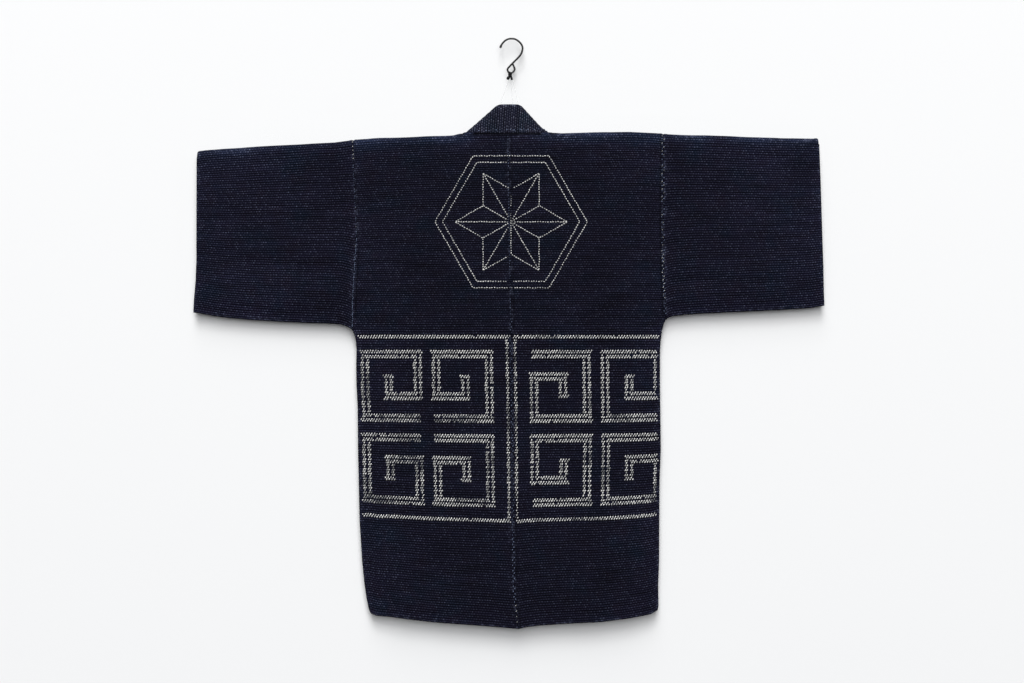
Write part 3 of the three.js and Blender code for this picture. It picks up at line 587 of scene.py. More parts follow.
def rgb(r, g, b):
    """Linear colour of an sRGB one, 0 to 255."""
    def f(c):
        c /= 255
        return c / 12.92 if c <= 0.04045 else ((c + 0.055) / 1.055) ** 2.4

    return (f(r), f(g), f(b), 1.0)


def cloth_material(name, base, blue, brown, dark, speck, speck_amount, tone_scale=1.0):
    """Indigo cotton quilted in rows: stitches in brick order on the ribs, painted shade in the hollows between rows and
    along the seams, patches of bluer and browner dye, pale rubbed edges, and a painted highlight with rubbed wear along
    the shoulders.
    """
    m, tree = new_material(name)
    q = Nodes(tree)
    uv = q.add("UVMap", uv_map="grain").outputs[0]
    sep = q.add("SeparateXYZ")
    q.put(sep.inputs[0], uv)
    u = q.math("MULTIPLY", sep.outputs[0], 1000.0 / STITCH)
    v = q.math("MULTIPLY", sep.outputs[1], 1000.0 / RIB)
    row = q.math("FLOOR", v)
    fv = q.math("SUBTRACT", v, row)
    # rows start at uneven places, and stitches in neighbouring rows are staggered
    row_noise = q.add("TexWhiteNoise", noise_dimensions="1D")
    q.put(row_noise.inputs["W"], row)
    stagger = q.math("MULTIPLY", q.math("MODULO", row, 2.0), 0.5)
    wander = q.math("MULTIPLY", q.noise(uv, 14.0, 1.0), 1.2)
    us = q.math("ADD", q.math("ADD", u, stagger), q.math("ADD", q.math("MULTIPLY", row_noise.outputs["Value"], 0.22), wander))
    col = q.math("FLOOR", us)
    fu = q.math("SUBTRACT", us, col)
    cell = q.add("TexWhiteNoise", noise_dimensions="2D")
    q.put(cell.inputs["Vector"], q.combine(col, row))
    chance = cell.outputs["Value"]
    off = q.add("SeparateXYZ")
    q.put(off.inputs[0], cell.outputs["Color"])
    # a stitch: a small oval, of its own length and a little off the middle of its cell
    size = q.math("ADD", 0.75, q.math("MULTIPLY", off.outputs[2], 0.5))
    du = q.math("DIVIDE", q.math("ADD", q.math("SUBTRACT", fu, 0.67), q.math("MULTIPLY", off.outputs[0], 0.34)), q.math("MULTIPLY", size, 0.31))
    dv = q.math("DIVIDE", q.math("ADD", q.math("SUBTRACT", fv, 0.66), q.math("MULTIPLY", off.outputs[1], 0.20)), 0.27)
    oval = q.math("SQRT", q.math("ADD", q.math("MULTIPLY", du, du), q.math("MULTIPLY", dv, dv)))
    stitch = q.ramp(oval, 1.20, 0.40)
    # painted shade in the hollow between two rows of stitching
    hollow = q.ramp(q.math("ABSOLUTE", q.math("SUBTRACT", q.math("FRACT", q.math("ADD", fv, 0.5)), 0.5)), 0.24, 0.05)
    # the painted shade of the hollow between two rows is deep in some stretches and nearly closed in others
    deep = q.ramp(q.noise(q.combine(q.math("MULTIPLY", u, 0.085), q.math("MULTIPLY", q.math("FLOOR", q.math("ADD", v, 0.5)), 1.7)), 1.0, 2.0, 0.6), 0.36, 0.62, 0.38, 1.0)
    # painted shade in the dips between stitches, where the thread pulls the cloth in
    gap_u = q.ramp(q.math("ABSOLUTE", q.math("SUBTRACT", fu, 0.5)), 0.36, 0.5)
    # dye and wear
    patch = q.noise(uv, 11.0 * tone_scale, 4.0, 0.6)
    patch2 = q.noise(uv, 31.0 * tone_scale, 3.0, 0.6)
    streak = q.noise(q.combine(q.math("MULTIPLY", sep.outputs[0], 10.0), q.math("MULTIPLY", row, 0.37)), 1.0, 2.0, 0.6)
    colour = q.mix(q.math("MULTIPLY", q.ramp(patch, 0.46, 0.72), 0.8), base, blue)
    colour = q.mix(q.math("MULTIPLY", q.ramp(patch2, 0.46, 0.70), 0.6), colour, brown)
    # bluer where the shade attribute runs high: at the lighter sleeve ends and in the painted highlight along the
    # shoulders
    shade_in = q.add("Attribute", attribute_name="shade").outputs["Fac"]
    colour = q.mix(q.math("MULTIPLY", q.ramp(shade_in, 1.02, 1.55), 0.55), colour, blue)
    # bright and dull rows, the odd rubbed place, and the uneven thread of the cloth
    bright = q.math("ADD", 0.70, q.math("MULTIPLY", q.ramp(streak, 0.25, 0.75, soft=False), 0.54))
    rubbed = q.noise(uv, 5.0, 4.0, 0.62)
    bright = q.math("MULTIPLY", bright, q.ramp(rubbed, 0.30, 0.75, 0.88, 1.18))
    slub = q.noise(q.combine(q.math("MULTIPLY", u, 2.3), q.math("MULTIPLY", v, 2.7)), 1.0, 1.0, 0.5)
    bright = q.math("MULTIPLY", bright, q.ramp(slub, 0.25, 0.75, 0.66, 1.34, soft=False))
    # wear: pale rubbed rims, and along the shoulders rubbed wear with a painted highlight
    wear = q.add("Attribute", attribute_name="wear").outputs["Fac"]
    bright = q.math("MULTIPLY", bright, q.math("ADD", 1.0, q.math("MULTIPLY", wear, 0.50)))
    # shade: lighter sleeve ends and sides, and the painted highlight along the shoulders
    bright = q.math("MULTIPLY", bright, shade_in)
    lift = q.math("MULTIPLY", stitch, q.math("ADD", 0.34, q.math("MULTIPLY", q.math("POWER", chance, 4.0), 1.0)))
    colour = q.mix(q.math("MULTIPLY", lift, speck_amount), colour, speck)
    # the painted shade of the hollows and of the dips between stitches darkens the colour
    shade = q.math("MULTIPLY", bright, q.math("SUBTRACT", 1.0, q.math("MULTIPLY", q.math("MULTIPLY", hollow, deep), 0.93)))
    shade = q.math("MULTIPLY", shade, q.math("SUBTRACT", 1.0, q.math("MULTIPLY", q.math("MULTIPLY", gap_u, q.math("SUBTRACT", 1.0, hollow)), 0.20)))
    scale = q.add("VectorMath", operation="SCALE")
    q.put(scale.inputs[0], colour)
    q.put(scale.inputs["Scale"], shade)
    # pale specks where wear is high, the painted highlight along the shoulders included
    colour = q.mix(q.math("MULTIPLY", q.math("POWER", wear, 2.0), q.math("MULTIPLY", q.ramp(chance, 0.55, 1.0), 0.55)), scale.outputs[0], speck)
    # seam: dark seam lines with painted shade in them, a painted contact shadow under the collar and painted shadow
    # beside the seams
    seam = q.add("Attribute", attribute_name="seam").outputs["Fac"]
    colour = q.mix(q.math("MULTIPLY", seam, 0.7, clamp=True), colour, dark)
    bs = q.add("BsdfPrincipled")
    q.put(bs.inputs["Base Color"], colour)
    q.put(bs.inputs["Roughness"], q.math("ADD", 0.80, q.math("MULTIPLY", hollow, 0.15)))
    bs.inputs["Specular IOR Level"].default_value = 0.05
    bs.inputs["Sheen Weight"].default_value = 0.006
    bs.inputs["Sheen Roughness"].default_value = 0.5
    # stitches stand up and pull the cloth in; threads show as a fine grain
    grain = q.noise(q.combine(q.math("MULTIPLY", sep.outputs[0], 1600.0), q.math("MULTIPLY", sep.outputs[1], 700.0)), 1.0, 2.0, 0.6)
    height = q.math("ADD", q.math("MULTIPLY", stitch, 0.7), q.math("MULTIPLY", grain, 0.35))
    height = q.math("SUBTRACT", height, q.math("MULTIPLY", hollow, 0.7))
    bump = q.add("Bump")
    q.put(bump.inputs["Height"], height)
    bump.inputs["Strength"].default_value = 0.85
    bump.inputs["Distance"].default_value = 0.0008
    q.put(bs.inputs["Normal"], bump.outputs[0])
    out = q.add("OutputMaterial")
    q.put(out.inputs[0], bs.outputs[0])
    return m


def thread_material(name, light, dull, rough=0.75):
    """Cotton thread: its tone changes from stitch to stitch, with painted shade in the grooves between the plies as
    fine slanting lines.
    """
    m, tree = new_material(name)
    q = Nodes(tree)
    tone = q.add("Attribute", attribute_name="tone").outputs["Fac"]
    ply = q.add("Attribute", attribute_name="ply").outputs["Fac"]
    colour = q.mix(tone, dull, light)
    # painted shade in the grooves between the plies
    line = q.math("ABSOLUTE", q.math("SUBTRACT", q.math("FRACT", ply), 0.5))
    dark = q.ramp(line, 0.10, 0.34, 0.66, 1.0)
    scale = q.add("VectorMath", operation="SCALE")
    q.put(scale.inputs[0], colour)
    q.put(scale.inputs["Scale"], dark)
    bs = q.add("BsdfPrincipled")
    q.put(bs.inputs["Base Color"], scale.outputs[0])
    bs.inputs["Roughness"].default_value = rough
    bs.inputs["Specular IOR Level"].default_value = 0.2
    bump = q.add("Bump")
    q.put(bump.inputs["Height"], dark)
    bump.inputs["Strength"].default_value = 0.6
    bump.inputs["Distance"].default_value = 0.0003
    q.put(bs.inputs["Normal"], bump.outputs[0])
    out = q.add("OutputMaterial")
    q.put(out.inputs[0], bs.outputs[0])
    return m


indigo = cloth_material("indigo_cloth", rgb(18, 17, 33), rgb(10, 20, 35), rgb(21, 16, 30), rgb(2, 2, 6), rgb(91, 96, 119), 0.33)
collar_indigo = cloth_material("collar_cloth", rgb(25, 26, 42), rgb(18, 32, 45), rgb(31, 26, 40), rgb(3, 4, 8), rgb(126, 130, 150), 0.46, 1.6)
white_thread = thread_material("white_stitch", rgb(240, 240, 237), rgb(108, 110, 112))
pale_thread = thread_material("pale_stitch", rgb(112, 124, 152), rgb(42, 50, 70))

# ---------------------------------------------------------------- cloth
pieces = {
    "body_left": body_half(-1),
    "body_right": body_half(1),
    "sleeve_left": sleeve(-1),
    "sleeve_right": sleeve(1),
    "collar": collar_cloth(),
}
for node, obj in pieces.items():
    obj.data.materials.append(collar_indigo if node == "collar" else indigo)
    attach(obj, "root")
    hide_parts(node)


# ---------------------------------------------------------------- stitches
def back_surface(x, z, layer=0):
    """Point on the outer face of the back (or front) at x, z, and its normal."""
    def y_of(a, b):
        g = half_gap(a, b, layer) + WALL / 2
        return -g if layer == 0 else g

    y = y_of(x, z)
    e = 1.5
    gx = (y_of(x + e, z) - y_of(x - e, z)) / (2 * e)
    gz = (y_of(x, z + e) - y_of(x, z - e)) / (2 * e)
    way = -1.0 if layer == 0 else 1.0
    n = np.stack([-gx * way, np.full_like(x, way), -gz * way], -1)
    n /= np.linalg.norm(n, axis=-1, keepdims=True)
    return np.stack([x, y, z], -1), n


def thread_mesh(name, at, normal, along, long, thick, high, tone, material, slot, body="root"):
    """Many stitches in one mesh: each is a low oval loop of thread, pinched in where it goes through the cloth."""
    count = len(at)
    rings, around = 5, 5
    t = np.linspace(-1, 1, rings)
    width = np.array([0.45, 0.92, 1.0, 0.92, 0.45])
    rise = np.array([-0.55, 0.35, 0.55, 0.35, -0.55])
    across = np.cross(normal, along)
    a = 2 * np.pi * np.arange(around) / around
    v = np.zeros((count, rings, around, 3))
    ply = np.zeros((count, rings, around))
    for i in range(rings):
        for j in range(around):
            v[:, i, j] = (
                at
                + along * (t[i] * long / 2)[:, None]
                + across * (math.cos(a[j]) * width[i] * thick / 2)[:, None]
                + normal * ((math.sin(a[j]) * width[i] + rise[i]) * high / 2)[:, None]
            )
            ply[:, i, j] = t[i] * 1.6 + a[j] / (2 * np.pi) * 2
    ends = np.stack([at - along * (long * 0.54)[:, None] - normal * (high * 0.4)[:, None], at + along * (long * 0.54)[:, None] - normal * (high * 0.4)[:, None]], 1)
    per = rings * around + 2
    co = np.concatenate([v.reshape(count, -1, 3), ends], 1).reshape(-1, 3)
    faces = []
    for i in range(rings - 1):
        for j in range(around):
            k = (j + 1) % around
            faces.append((i * around + j, i * around + k, (i + 1) * around + k, (i + 1) * around + j))
    quads = np.array(faces)
    caps = np.array([(per - 2, (j + 1) % around, j) for j in range(around)] + [(per - 1, (rings - 1) * around + j, (rings - 1) * around + (j + 1) % around) for j in range(around)])
    offset = (np.arange(count) * per)[:, None, None]
    all_faces = [tuple(q) for q in (quads[None] + offset).reshape(-1, 4).tolist()] + [tuple(q) for q in (caps[None] + offset).reshape(-1, 3).tolist()]
    plies = np.concatenate([ply.reshape(count, -1), np.zeros((count, 2))], 1).ravel()
    tones = np.repeat(tone, per)
    obj = add_mesh(name, co, all_faces, None, {"tone": tones, "ply": plies})
    obj.data.materials.append(material)
    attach(obj, body)
    return obj


def turn(normal, degrees):
    """Unit direction on the cloth, `degrees` up from +X."""
    d = np.stack([np.cos(np.radians(degrees)), np.zeros(len(normal)), np.sin(np.radians(degrees))], -1)
    d -= normal * (d * normal).sum(-1, keepdims=True)
    return d / np.linalg.norm(d, axis=-1, keepdims=True)


def row_height(rib, x, layer=0):
    """Height z at which row number `rib`, counted from the hem, crosses x."""
    top = top_line(x) - WALL / 2 - FOLD_RADIUS
    low = np.clip(rib / LOWER_RIBS, 0, 1)
    high = np.clip((rib - LOWER_RIBS) / UPPER_RIBS, 0, None)
    return np.where(rib < LOWER_RIBS, lower_row(x, low, FRONT_HEM_RISE if layer else 0.0), LEVEL_ROW + (top - LEVEL_ROW) * high)


# The hip band: a traditional key fret, charted on a net of squares one stitch
# wide and one row tall. Two tiers of squared spirals, each drawn as the outline
# of one broad line and turned about in pairs, stand between plain borders.
BAND_RIBS = (42, 118)
WIDE, TALL = 20, 26
SPIRAL = [(20, 0), (0, 0), (0, 26), (20, 26), (20, 9), (9, 9), (9, 17)]
TIERS = (8, 42)
STARTS = (7, 34)


def beside(path, d):
    """The path moved sideways by d squares."""
    out = []
    for k, (a, b) in enumerate(path):
        n = np.zeros(2)
        for p, q in ((k - 1, k), (k, k + 1)):
            if p >= 0 and q < len(path):
                step = np.sign(np.subtract(path[q], path[p]))
                n += (-step[1], step[0])
        out.append((a + d * n[0], b + d * n[1]))
    return out


def band_lines(s, columns):
    """Middles of the fret's lines on one panel, in squares out from the panel's inner edge and up from the band's foot."""
    tall = BAND_RIBS[1] - BAND_RIBS[0]
    lines = [((0, 1), (columns, 1)), ((0, tall - 1), (columns, tall - 1)), ((1, 1), (1, tall - 1))]
    for tier in (0, 1):
        for k in (0, 1):
            flip_x = k if s < 0 else 1 - k
            flip_y = 1 - tier if s < 0 else (tier + k) % 2
            path = [(WIDE - a if flip_x else a, TALL - b if flip_y else b) for a, b in SPIRAL]
            path = [(a + STARTS[k] + 1, b + TIERS[tier]) for a, b in path]
            ring = beside(path, 1) + beside(path, -1)[::-1]
            lines += list(zip(ring, ring[1:] + ring[:1]))
    return lines


def band_stitches(s, layer):
    inner = front_edge(s, -780.0) + s * 4 if layer else look(CENTRE, -780.0)
    outer = side_line(s, -780.0)
    span = abs(outer - inner)
    columns, rows = int(span / STITCH), BAND_RIBS[1] - BAND_RIBS[0]
    marked = {}
    lines = [[int(round(v)) for v in (*p, *q)] for p, q in band_lines(s, columns)]
    # level lines: two rows of stitches, drawn together
    for a0, b0, a1, b1 in lines:
        if b0 == b1:
            for r, pull in ((b0 - 1, 0.13), (b0, -0.13)):
                for c in range(min(a0, a1) - 1, max(a0, a1) + 1):
                    marked.setdefault((r, c), (1, pull, 0.0))
    # upright lines: two stitches in one row, one between them in the next
    for a0, b0, a1, b1 in lines:
        if b0 != b1:
            for r in range(min(b0, b1) - 1, max(b0, b1) + 1):
                marked.setdefault((r, a0 - 1), (0, 0.13 if r % 2 == 0 else 0.0, 0.0))
                if r % 2 == 0:
                    marked.setdefault((r, a0), (0, -0.13, 0.0))
                elif hash01(r, a0, 61) < 0.30:
                    marked.setdefault((r, a0), (0, -0.42, 0.3))
    keys = sorted(k for k in marked if 0 <= k[0] < rows)
    r, c = np.array(keys, float).T
    flat, pull, dim = np.array([marked[k] for k in keys]).T
    rnd = [hash01(r, c, 40 + k + 7 * layer + (s > 0) * 3) - 0.5 for k in range(7)]
    along_x = (c + 0.5 + 0.5 * (r % 2) + 0.14 * rnd[0] + pull * (1 - flat)) * STITCH
    rib = BAND_RIBS[0] + r + 0.56 + pull * flat + 0.12 * rnd[1]
    start = 4.0 if layer else (1.6 if s > 0 else 3.0)
    x = inner + s * along_x
    for _ in range(3):
        z = row_height(rib, x, layer)
        edge_in = (front_edge(s, z) if layer else look(CENTRE, z)) + s * start
        edge_out = side_line(s, z)
        x = edge_in + (edge_out - edge_in) * along_x / span
    keep = (along_x < span - 5.0) & (along_x > 0) & (rnd[2] > -0.485)
    x, z, r, c, flat, dim = (q[keep] for q in (x, z, r, c, flat, dim))
    rnd = [q[keep] for q in rnd]
    at, n = back_surface(x, z, layer)
    tilt = np.where(flat > 0, 66.0, np.where(r % 2 == 0, 58.0, 74.0)) + 24 * rnd[3]
    along = turn(n, tilt if layer == 0 else 180 - tilt)
    # the thread is worn and grey in places, and whiter again a little further on
    worn = 0.5 + 0.5 * noise(x / 26.0, z / 20.0, 71) + 0.35 * noise(x / 90.0, z / 70.0, 72)
    tone = np.clip(0.80 + 0.85 * rnd[4] - 0.55 * smooth((worn - 0.55) / 0.45) - 0.06 * (1 - flat) - dim, 0, 1)
    long = 4.2 + 1.0 * rnd[5] + 0.3 * (1 - flat) - 0.5 * (dim > 0)
    thick = 2.25 + 0.8 * rnd[6] - 0.4 * (dim > 0)
    return at + n * 0.15, n, along, long, thick, np.full(len(x), 1.5), tone


for s in (-1, 1):
    for layer in (0, 1):
        at, n, along, long, thick, high, tone = band_stitches(s, layer)
        thread_mesh(f"band_{'back' if layer == 0 else 'front'}_{'left' if s < 0 else 'right'}", at, n, along, long, thick, high, tone, white_thread, "white_stitch")


# The back motif: a plain tortoise-shell hexagon, twice outlined, with a
# hemp-leaf star in it, all in single dotted lines of white running stitch.
MOTIF_X, MOTIF_Z, MOTIF_R = 0.0, -366.0, 152.0


def motif_lines():
    def corner(k, radius):
        a = math.radians(60 * k)
        return (radius * math.cos(a), radius * math.sin(a))

    lines = []
    for radius in (MOTIF_R, MOTIF_R - 15.0):
        lines += [(corner(k, radius), corner(k + 1, radius)) for k in range(6)]
    leaf = MOTIF_R - 40.0
    for k in range(6):
        a, b = corner(k, leaf), corner(k + 1, leaf)
        g = ((a[0] + b[0]) / 3, (a[1] + b[1]) / 3)
        lines += [((0, 0), a), (g, (0, 0)), (g, a), (g, b)]
    return lines


def motif_stitches():
    xs, zs, tilt, key = [], [], [], []
    for i, ((x0, z0), (x1, z1)) in enumerate(motif_lines()):
        length = math.hypot(x1 - x0, z1 - z0)
        n = max(2, int(round(length / 5.0)))
        for k in range(n):
            t = (k + 0.5) / n
            xs.append(MOTIF_X + x0 + (x1 - x0) * t)
            zs.append(MOTIF_Z + z0 + (z1 - z0) * t)
            tilt.append(math.degrees(math.atan2(z1 - z0, x1 - x0)))
            key.append((i, k))
    x, z, tilt = (np.array(q, float) for q in (xs, zs, tilt))
    i, k = (np.array([q[m] for q in key]) for m in (0, 1))
    rnd = [hash01(i, k, 80 + m) - 0.5 for m in range(5)]
    keep = np.abs(x - look(CENTRE, z)) > 1.6
    x, z = x + 1.0 * rnd[0], z + 1.0 * rnd[1]
    x, z, tilt, rnd = x[keep], z[keep], tilt[keep], [q[keep] for q in rnd]
    at, n = back_surface(x, z)
    along = turn(n, tilt + 24 * rnd[2])
    tone = np.clip(0.72 + 0.7 * rnd[3], 0, 1)
    return at + n * 0.1, n, along, 3.7 + 0.8 * rnd[4], 2.1 + 0.4 * rnd[2], np.full(len(x), 1.2), tone


at, n, along, long, thick, high, tone = motif_stitches()
thread_mesh("back_motif", at, n, along, long, thick, high, tone, white_thread, "white_stitch")


# Seams: small stitches that show along them, some white, most of faded blue thread.
def seam_stitches(z0, z1, line, offset, pitch, seed, layer=0, gone=0.25, slant=70.0, size=1.0, zig=0.0, mid=0.35, spread=1.0):
    z = np.arange(z0, z1, -pitch)
    k = np.arange(len(z))
    rnd = [hash01(k, seed, 90 + m) - 0.5 for m in range(5)]
    x = line(z) + offset + 0.9 * rnd[0] + zig * np.where(k % 2 == 0, -1, 1)
    z = z + 0.8 * rnd[1]
    keep = rnd[2] > gone - 0.5
    x, z, rnd = x[keep], z[keep], [q[keep] for q in rnd]
    at, n = back_surface(x, z, layer)
    along = turn(n, slant + 40 * rnd[3])
    tone = np.clip(mid + spread * rnd[4], 0, 1)
    return [at + n * (0.75 + 0.2 * rnd[2])[:, None], n, along, size * (3.1 + 0.9 * rnd[0]), size * (1.6 + 0.5 * rnd[1]), np.full(len(x), 1.1), tone]


def joined(lists):
    return [np.concatenate([q[i] for q in lists]) for i in range(7)]


def left_arm(z):
    return side_line(-1, z)


def right_arm(z):
    return side_line(1, z)


def centre_seam(z):
    return look(CENTRE, z)


faded = joined([
    seam_stitches(-240, -400, left_arm, -1.6, 4.4, 1, 0, 0.22, mid=0.24),
    seam_stitches(-400, -574, left_arm, -0.3, 3.7, 6, 0, 0.06, size=1.05, mid=0.62),
    seam_stitches(-200, -424, right_arm, -0.6, 5.2, 2, 0, 0.12, zig=2.0, mid=0.62),
    seam_stitches(-424, -556, right_arm, -1.0, 5.0, 7, 0, 0.12, zig=1.6, mid=0.66),
    seam_stitches(-196, -560, centre_seam, -1.4, 5.9, 3, 0, 0.10, 80.0, 0.80, mid=0.60, spread=0.9),
    seam_stitches(-560, -1000, centre_seam, -0.6, 5.4, 8, 0, 0.16, 70.0, 0.95, zig=1.2, mid=0.46),
    seam_stitches(-1000, -1130, centre_seam, -1.0, 5.2, 9, 0, 0.06, 80.0, 1.05, zig=1.5, mid=0.72, spread=0.6),
    seam_stitches(-206, -570, left_arm, 1.6, 5.0, 4, 1, 0.3),
    seam_stitches(-196, -552, right_arm, -1.4, 5.0, 5, 1, 0.3),
])
thread_mesh("seam_stitches", *faded, pale_thread, "indigo_cloth")
white = joined([
    seam_stitches(-207, -246, left_arm, -0.8, 8.0, 21, 0, 0.0, 60.0, 1.0, mid=0.35, spread=0.4),
    seam_stitches(-194, -322, right_arm, -0.8, 7.6, 22, 0, 0.10, 60.0, 0.95, zig=1.8, mid=0.25, spread=0.9),
    seam_stitches(-322, -424, right_arm, -0.8, 15.0, 26, 0, 0.1, 60.0, 0.85, zig=1.0, mid=0.15, spread=0.4),
    seam_stitches(-424, -524, right_arm, -1.6, 7.2, 23, 0, 0.08, 60.0, 0.95, zig=1.2, mid=0.34, spread=0.6),
    seam_stitches(-1132, -1172, centre_seam, -0.6, 11.0, 24, 0, 0.0, 60.0, 1.0, mid=0.25, spread=0.3),
    seam_stitches(-300, -420, left_arm, -1.6, 38.0, 25, 0, 0.0, 60.0, 0.8, mid=0.0, spread=0.1),
])
thread_mesh("seam_stitches_white", *white, white_thread, "white_stitch")


def collar_stitches():
    """One uneven row along the collar's base, where it is sewn down."""
    end = COLLAR_TURN + math.pi * COLLAR_RADIUS / CX + 880.0
    u = np.arange(-end, end, 7.1)
    k = np.arange(len(u))
    rnd = [hash01(k, 7, 120 + m) - 0.5 for m in range(6)]
    u, v = u + 2.6 * rnd[0], 7.0 + 1.6 * rnd[1] + 0.8 * np.sin(u / 31.0)
    keep = rnd[2] > -0.34
    u, v, rnd = u[keep], v[keep], [q[keep] for q in rnd]
    du, dv = collar_point(u + 0.5, v) - collar_point(u - 0.5, v), collar_point(u, v + 0.5) - collar_point(u, v - 0.5)
    n = np.cross(du, dv)
    n /= np.linalg.norm(n, axis=-1, keepdims=True)
    along = dv + du * (0.6 * rnd[3])[:, None]
    along /= np.linalg.norm(along, axis=-1, keepdims=True)
    at = collar_point(u, v) + n * (COLLAR_WALL / 2 + 0.25)
    return at, n, along, 3.0 + 1.2 * rnd[4], 2.0 + 0.8 * rnd[0], np.full(len(u), 1.2), np.clip(0.75 + 1.2 * rnd[5], 0, 1)


thread_mesh("collar_stitches", *collar_stitches(), pale_thread, "collar_cloth")


# ---------------------------------------------------------------- hook, tie, rod, threads
def catmull(points, per):
    p = np.array(points, float)
    p = np.concatenate([[2 * p[0] - p[1]], p, [2 * p[-1] - p[-2]]])
    out = []
    for i in range(1, len(p) - 2):
        for k in range(per):
            t = k / per
            out.append(0.5 * ((2 * p[i]) + (-p[i - 1] + p[i + 1]) * t + (2 * p[i - 1] - 5 * p[i] + 4 * p[i + 1] - p[i + 2]) * t * t + (-p[i - 1] + 3 * p[i] - 3 * p[i + 1] + p[i + 2]) * t**3))
    out.append(p[-2])
    return np.array(out)


def tube_mesh(name, path, radius, around=16, tone=None):
    """Closed tube along a path; radius is a number or one for each point."""
    path = np.asarray(path, float)
    n = len(path)
    radius = np.broadcast_to(np.asarray(radius, float), (n,))
    tangent = np.gradient(path, axis=0)
    tangent /= np.linalg.norm(tangent, axis=1, keepdims=True)
    side = np.cross(tangent[0], [0, 1, 0.01])
    frames = []
    for k in range(n):
        side = side - tangent[k] * np.dot(side, tangent[k])
        side /= np.linalg.norm(side)
        frames.append((side.copy(), np.cross(tangent[k], side)))
    a = 2 * np.pi * np.arange(around) / around
    co = [path[k] + radius[k] * (np.cos(q) * frames[k][0] + np.sin(q) * frames[k][1]) for k in range(n) for q in a]
    faces = [(k * around + j, k * around + (j + 1) % around, (k + 1) * around + (j + 1) % around, (k + 1) * around + j) for k in range(n - 1) for j in range(around)]
    co += [path[0], path[-1]]
    faces += [(n * around, (j + 1) % around, j) for j in range(around)]
    faces += [(n * around + 1, (n - 1) * around + j, (n - 1) * around + (j + 1) % around) for j in range(around)]
    step = np.concatenate([[0], np.cumsum(np.linalg.norm(np.diff(path, axis=0), axis=1))])
    lengths = np.concatenate([np.repeat(step, around), [0, step[-1]]])
    angle = np.concatenate([np.tile(a / (2 * np.pi), n), [0, 0]])
    uv = np.stack([lengths, angle * 20], 1) * MM
    return add_mesh(name, co, faces, uv, {"tone": np.full(len(co), 0.5 if tone is None else tone), "ply": lengths / 1.3 + angle * 2})


def coated_wire():
    m, tree = new_material("hook_wire")
    q = Nodes(tree)
    co = q.add("TexCoord").outputs["Object"]
    chips = q.noise(co, 900.0, 3.0, 0.6)
    rub = q.noise(co, 260.0, 2.0, 0.5)
    bs = q.add("BsdfPrincipled")
    q.put(bs.inputs["Base Color"], q.mix(q.ramp(rub, 0.55, 0.72), rgb(14, 14, 16), rgb(34, 34, 37)))
    q.put(bs.inputs["Roughness"], q.ramp(chips, 0.3, 0.7, 0.30, 0.48))
    bs.inputs["Specular IOR Level"].default_value = 0.45
    bump = q.add("Bump")
    q.put(bump.inputs["Height"], chips)
    bump.inputs["Strength"].default_value = 0.25
    bump.inputs["Distance"].default_value = 0.0002
    q.put(bs.inputs["Normal"], bump.outputs[0])
    q.put(q.add("OutputMaterial").inputs[0], bs.outputs[0])
    return m


def bamboo():
    m, tree = new_material("rod_wood")
    q = Nodes(tree)
    sep = q.add("SeparateXYZ")
    q.put(sep.inputs[0], q.add("TexCoord").outputs["Object"])
    x = sep.outputs[0]
    fibres = q.noise(q.combine(q.math("MULTIPLY", x, 18.0), q.math("MULTIPLY", sep.outputs[1], 900.0), q.math("MULTIPLY", sep.outputs[2], 900.0)), 1.0, 3.0, 0.6)
    node = q.math("ABSOLUTE", q.math("SUBTRACT", q.math("FRACT", q.math("DIVIDE", q.math("ADD", x, 0.71), 0.236)), 0.5))
    ring = q.ramp(node, 0.012, 0.002)
    colour = q.mix(q.ramp(fibres, 0.3, 0.7), rgb(196, 160, 104), rgb(160, 121, 70))
    colour = q.mix(ring, colour, rgb(96, 66, 36))
    bs = q.add("BsdfPrincipled")
    q.put(bs.inputs["Base Color"], colour)
    q.put(bs.inputs["Roughness"], q.ramp(fibres, 0.2, 0.8, 0.42, 0.6))
    bump = q.add("Bump")
    q.put(bump.inputs["Height"], q.math("SUBTRACT", fibres, ring))
    bump.inputs["Strength"].default_value = 0.3
    bump.inputs["Distance"].default_value = 0.0006
    q.put(bs.inputs["Normal"], bump.outputs[0])
    q.put(q.add("OutputMaterial").inputs[0], bs.outputs[0])
    return m


def clear_line():
    m, tree = new_material("clear_thread")
    q = Nodes(tree)
    co = q.add("TexCoord").outputs["Object"]
    haze = q.noise(co, 500.0, 2.0, 0.5)
    bs = q.add("BsdfPrincipled")
    bs.inputs["Base Color"].default_value = (0.78, 0.80, 0.80, 1)
    q.put(bs.inputs["Roughness"], q.ramp(haze, 0.3, 0.7, 0.08, 0.22))
    bs.inputs["Alpha"].default_value = 0.4
    bs.inputs["IOR"].default_value = 1.53
    q.put(q.add("OutputMaterial").inputs[0], bs.outputs[0])
    return m


wire = coated_wire()
line = catmull(HOOK_LINE, 8)
ball = 1.9 + 0.45 * np.exp(-((np.arange(len(line)) - 3.0) / 3.2) ** 2)
hook = tube_mesh("hook_wire", line, ball, 14)
hook.data.materials.append(wire)
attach(hook, "root")
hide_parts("hook")

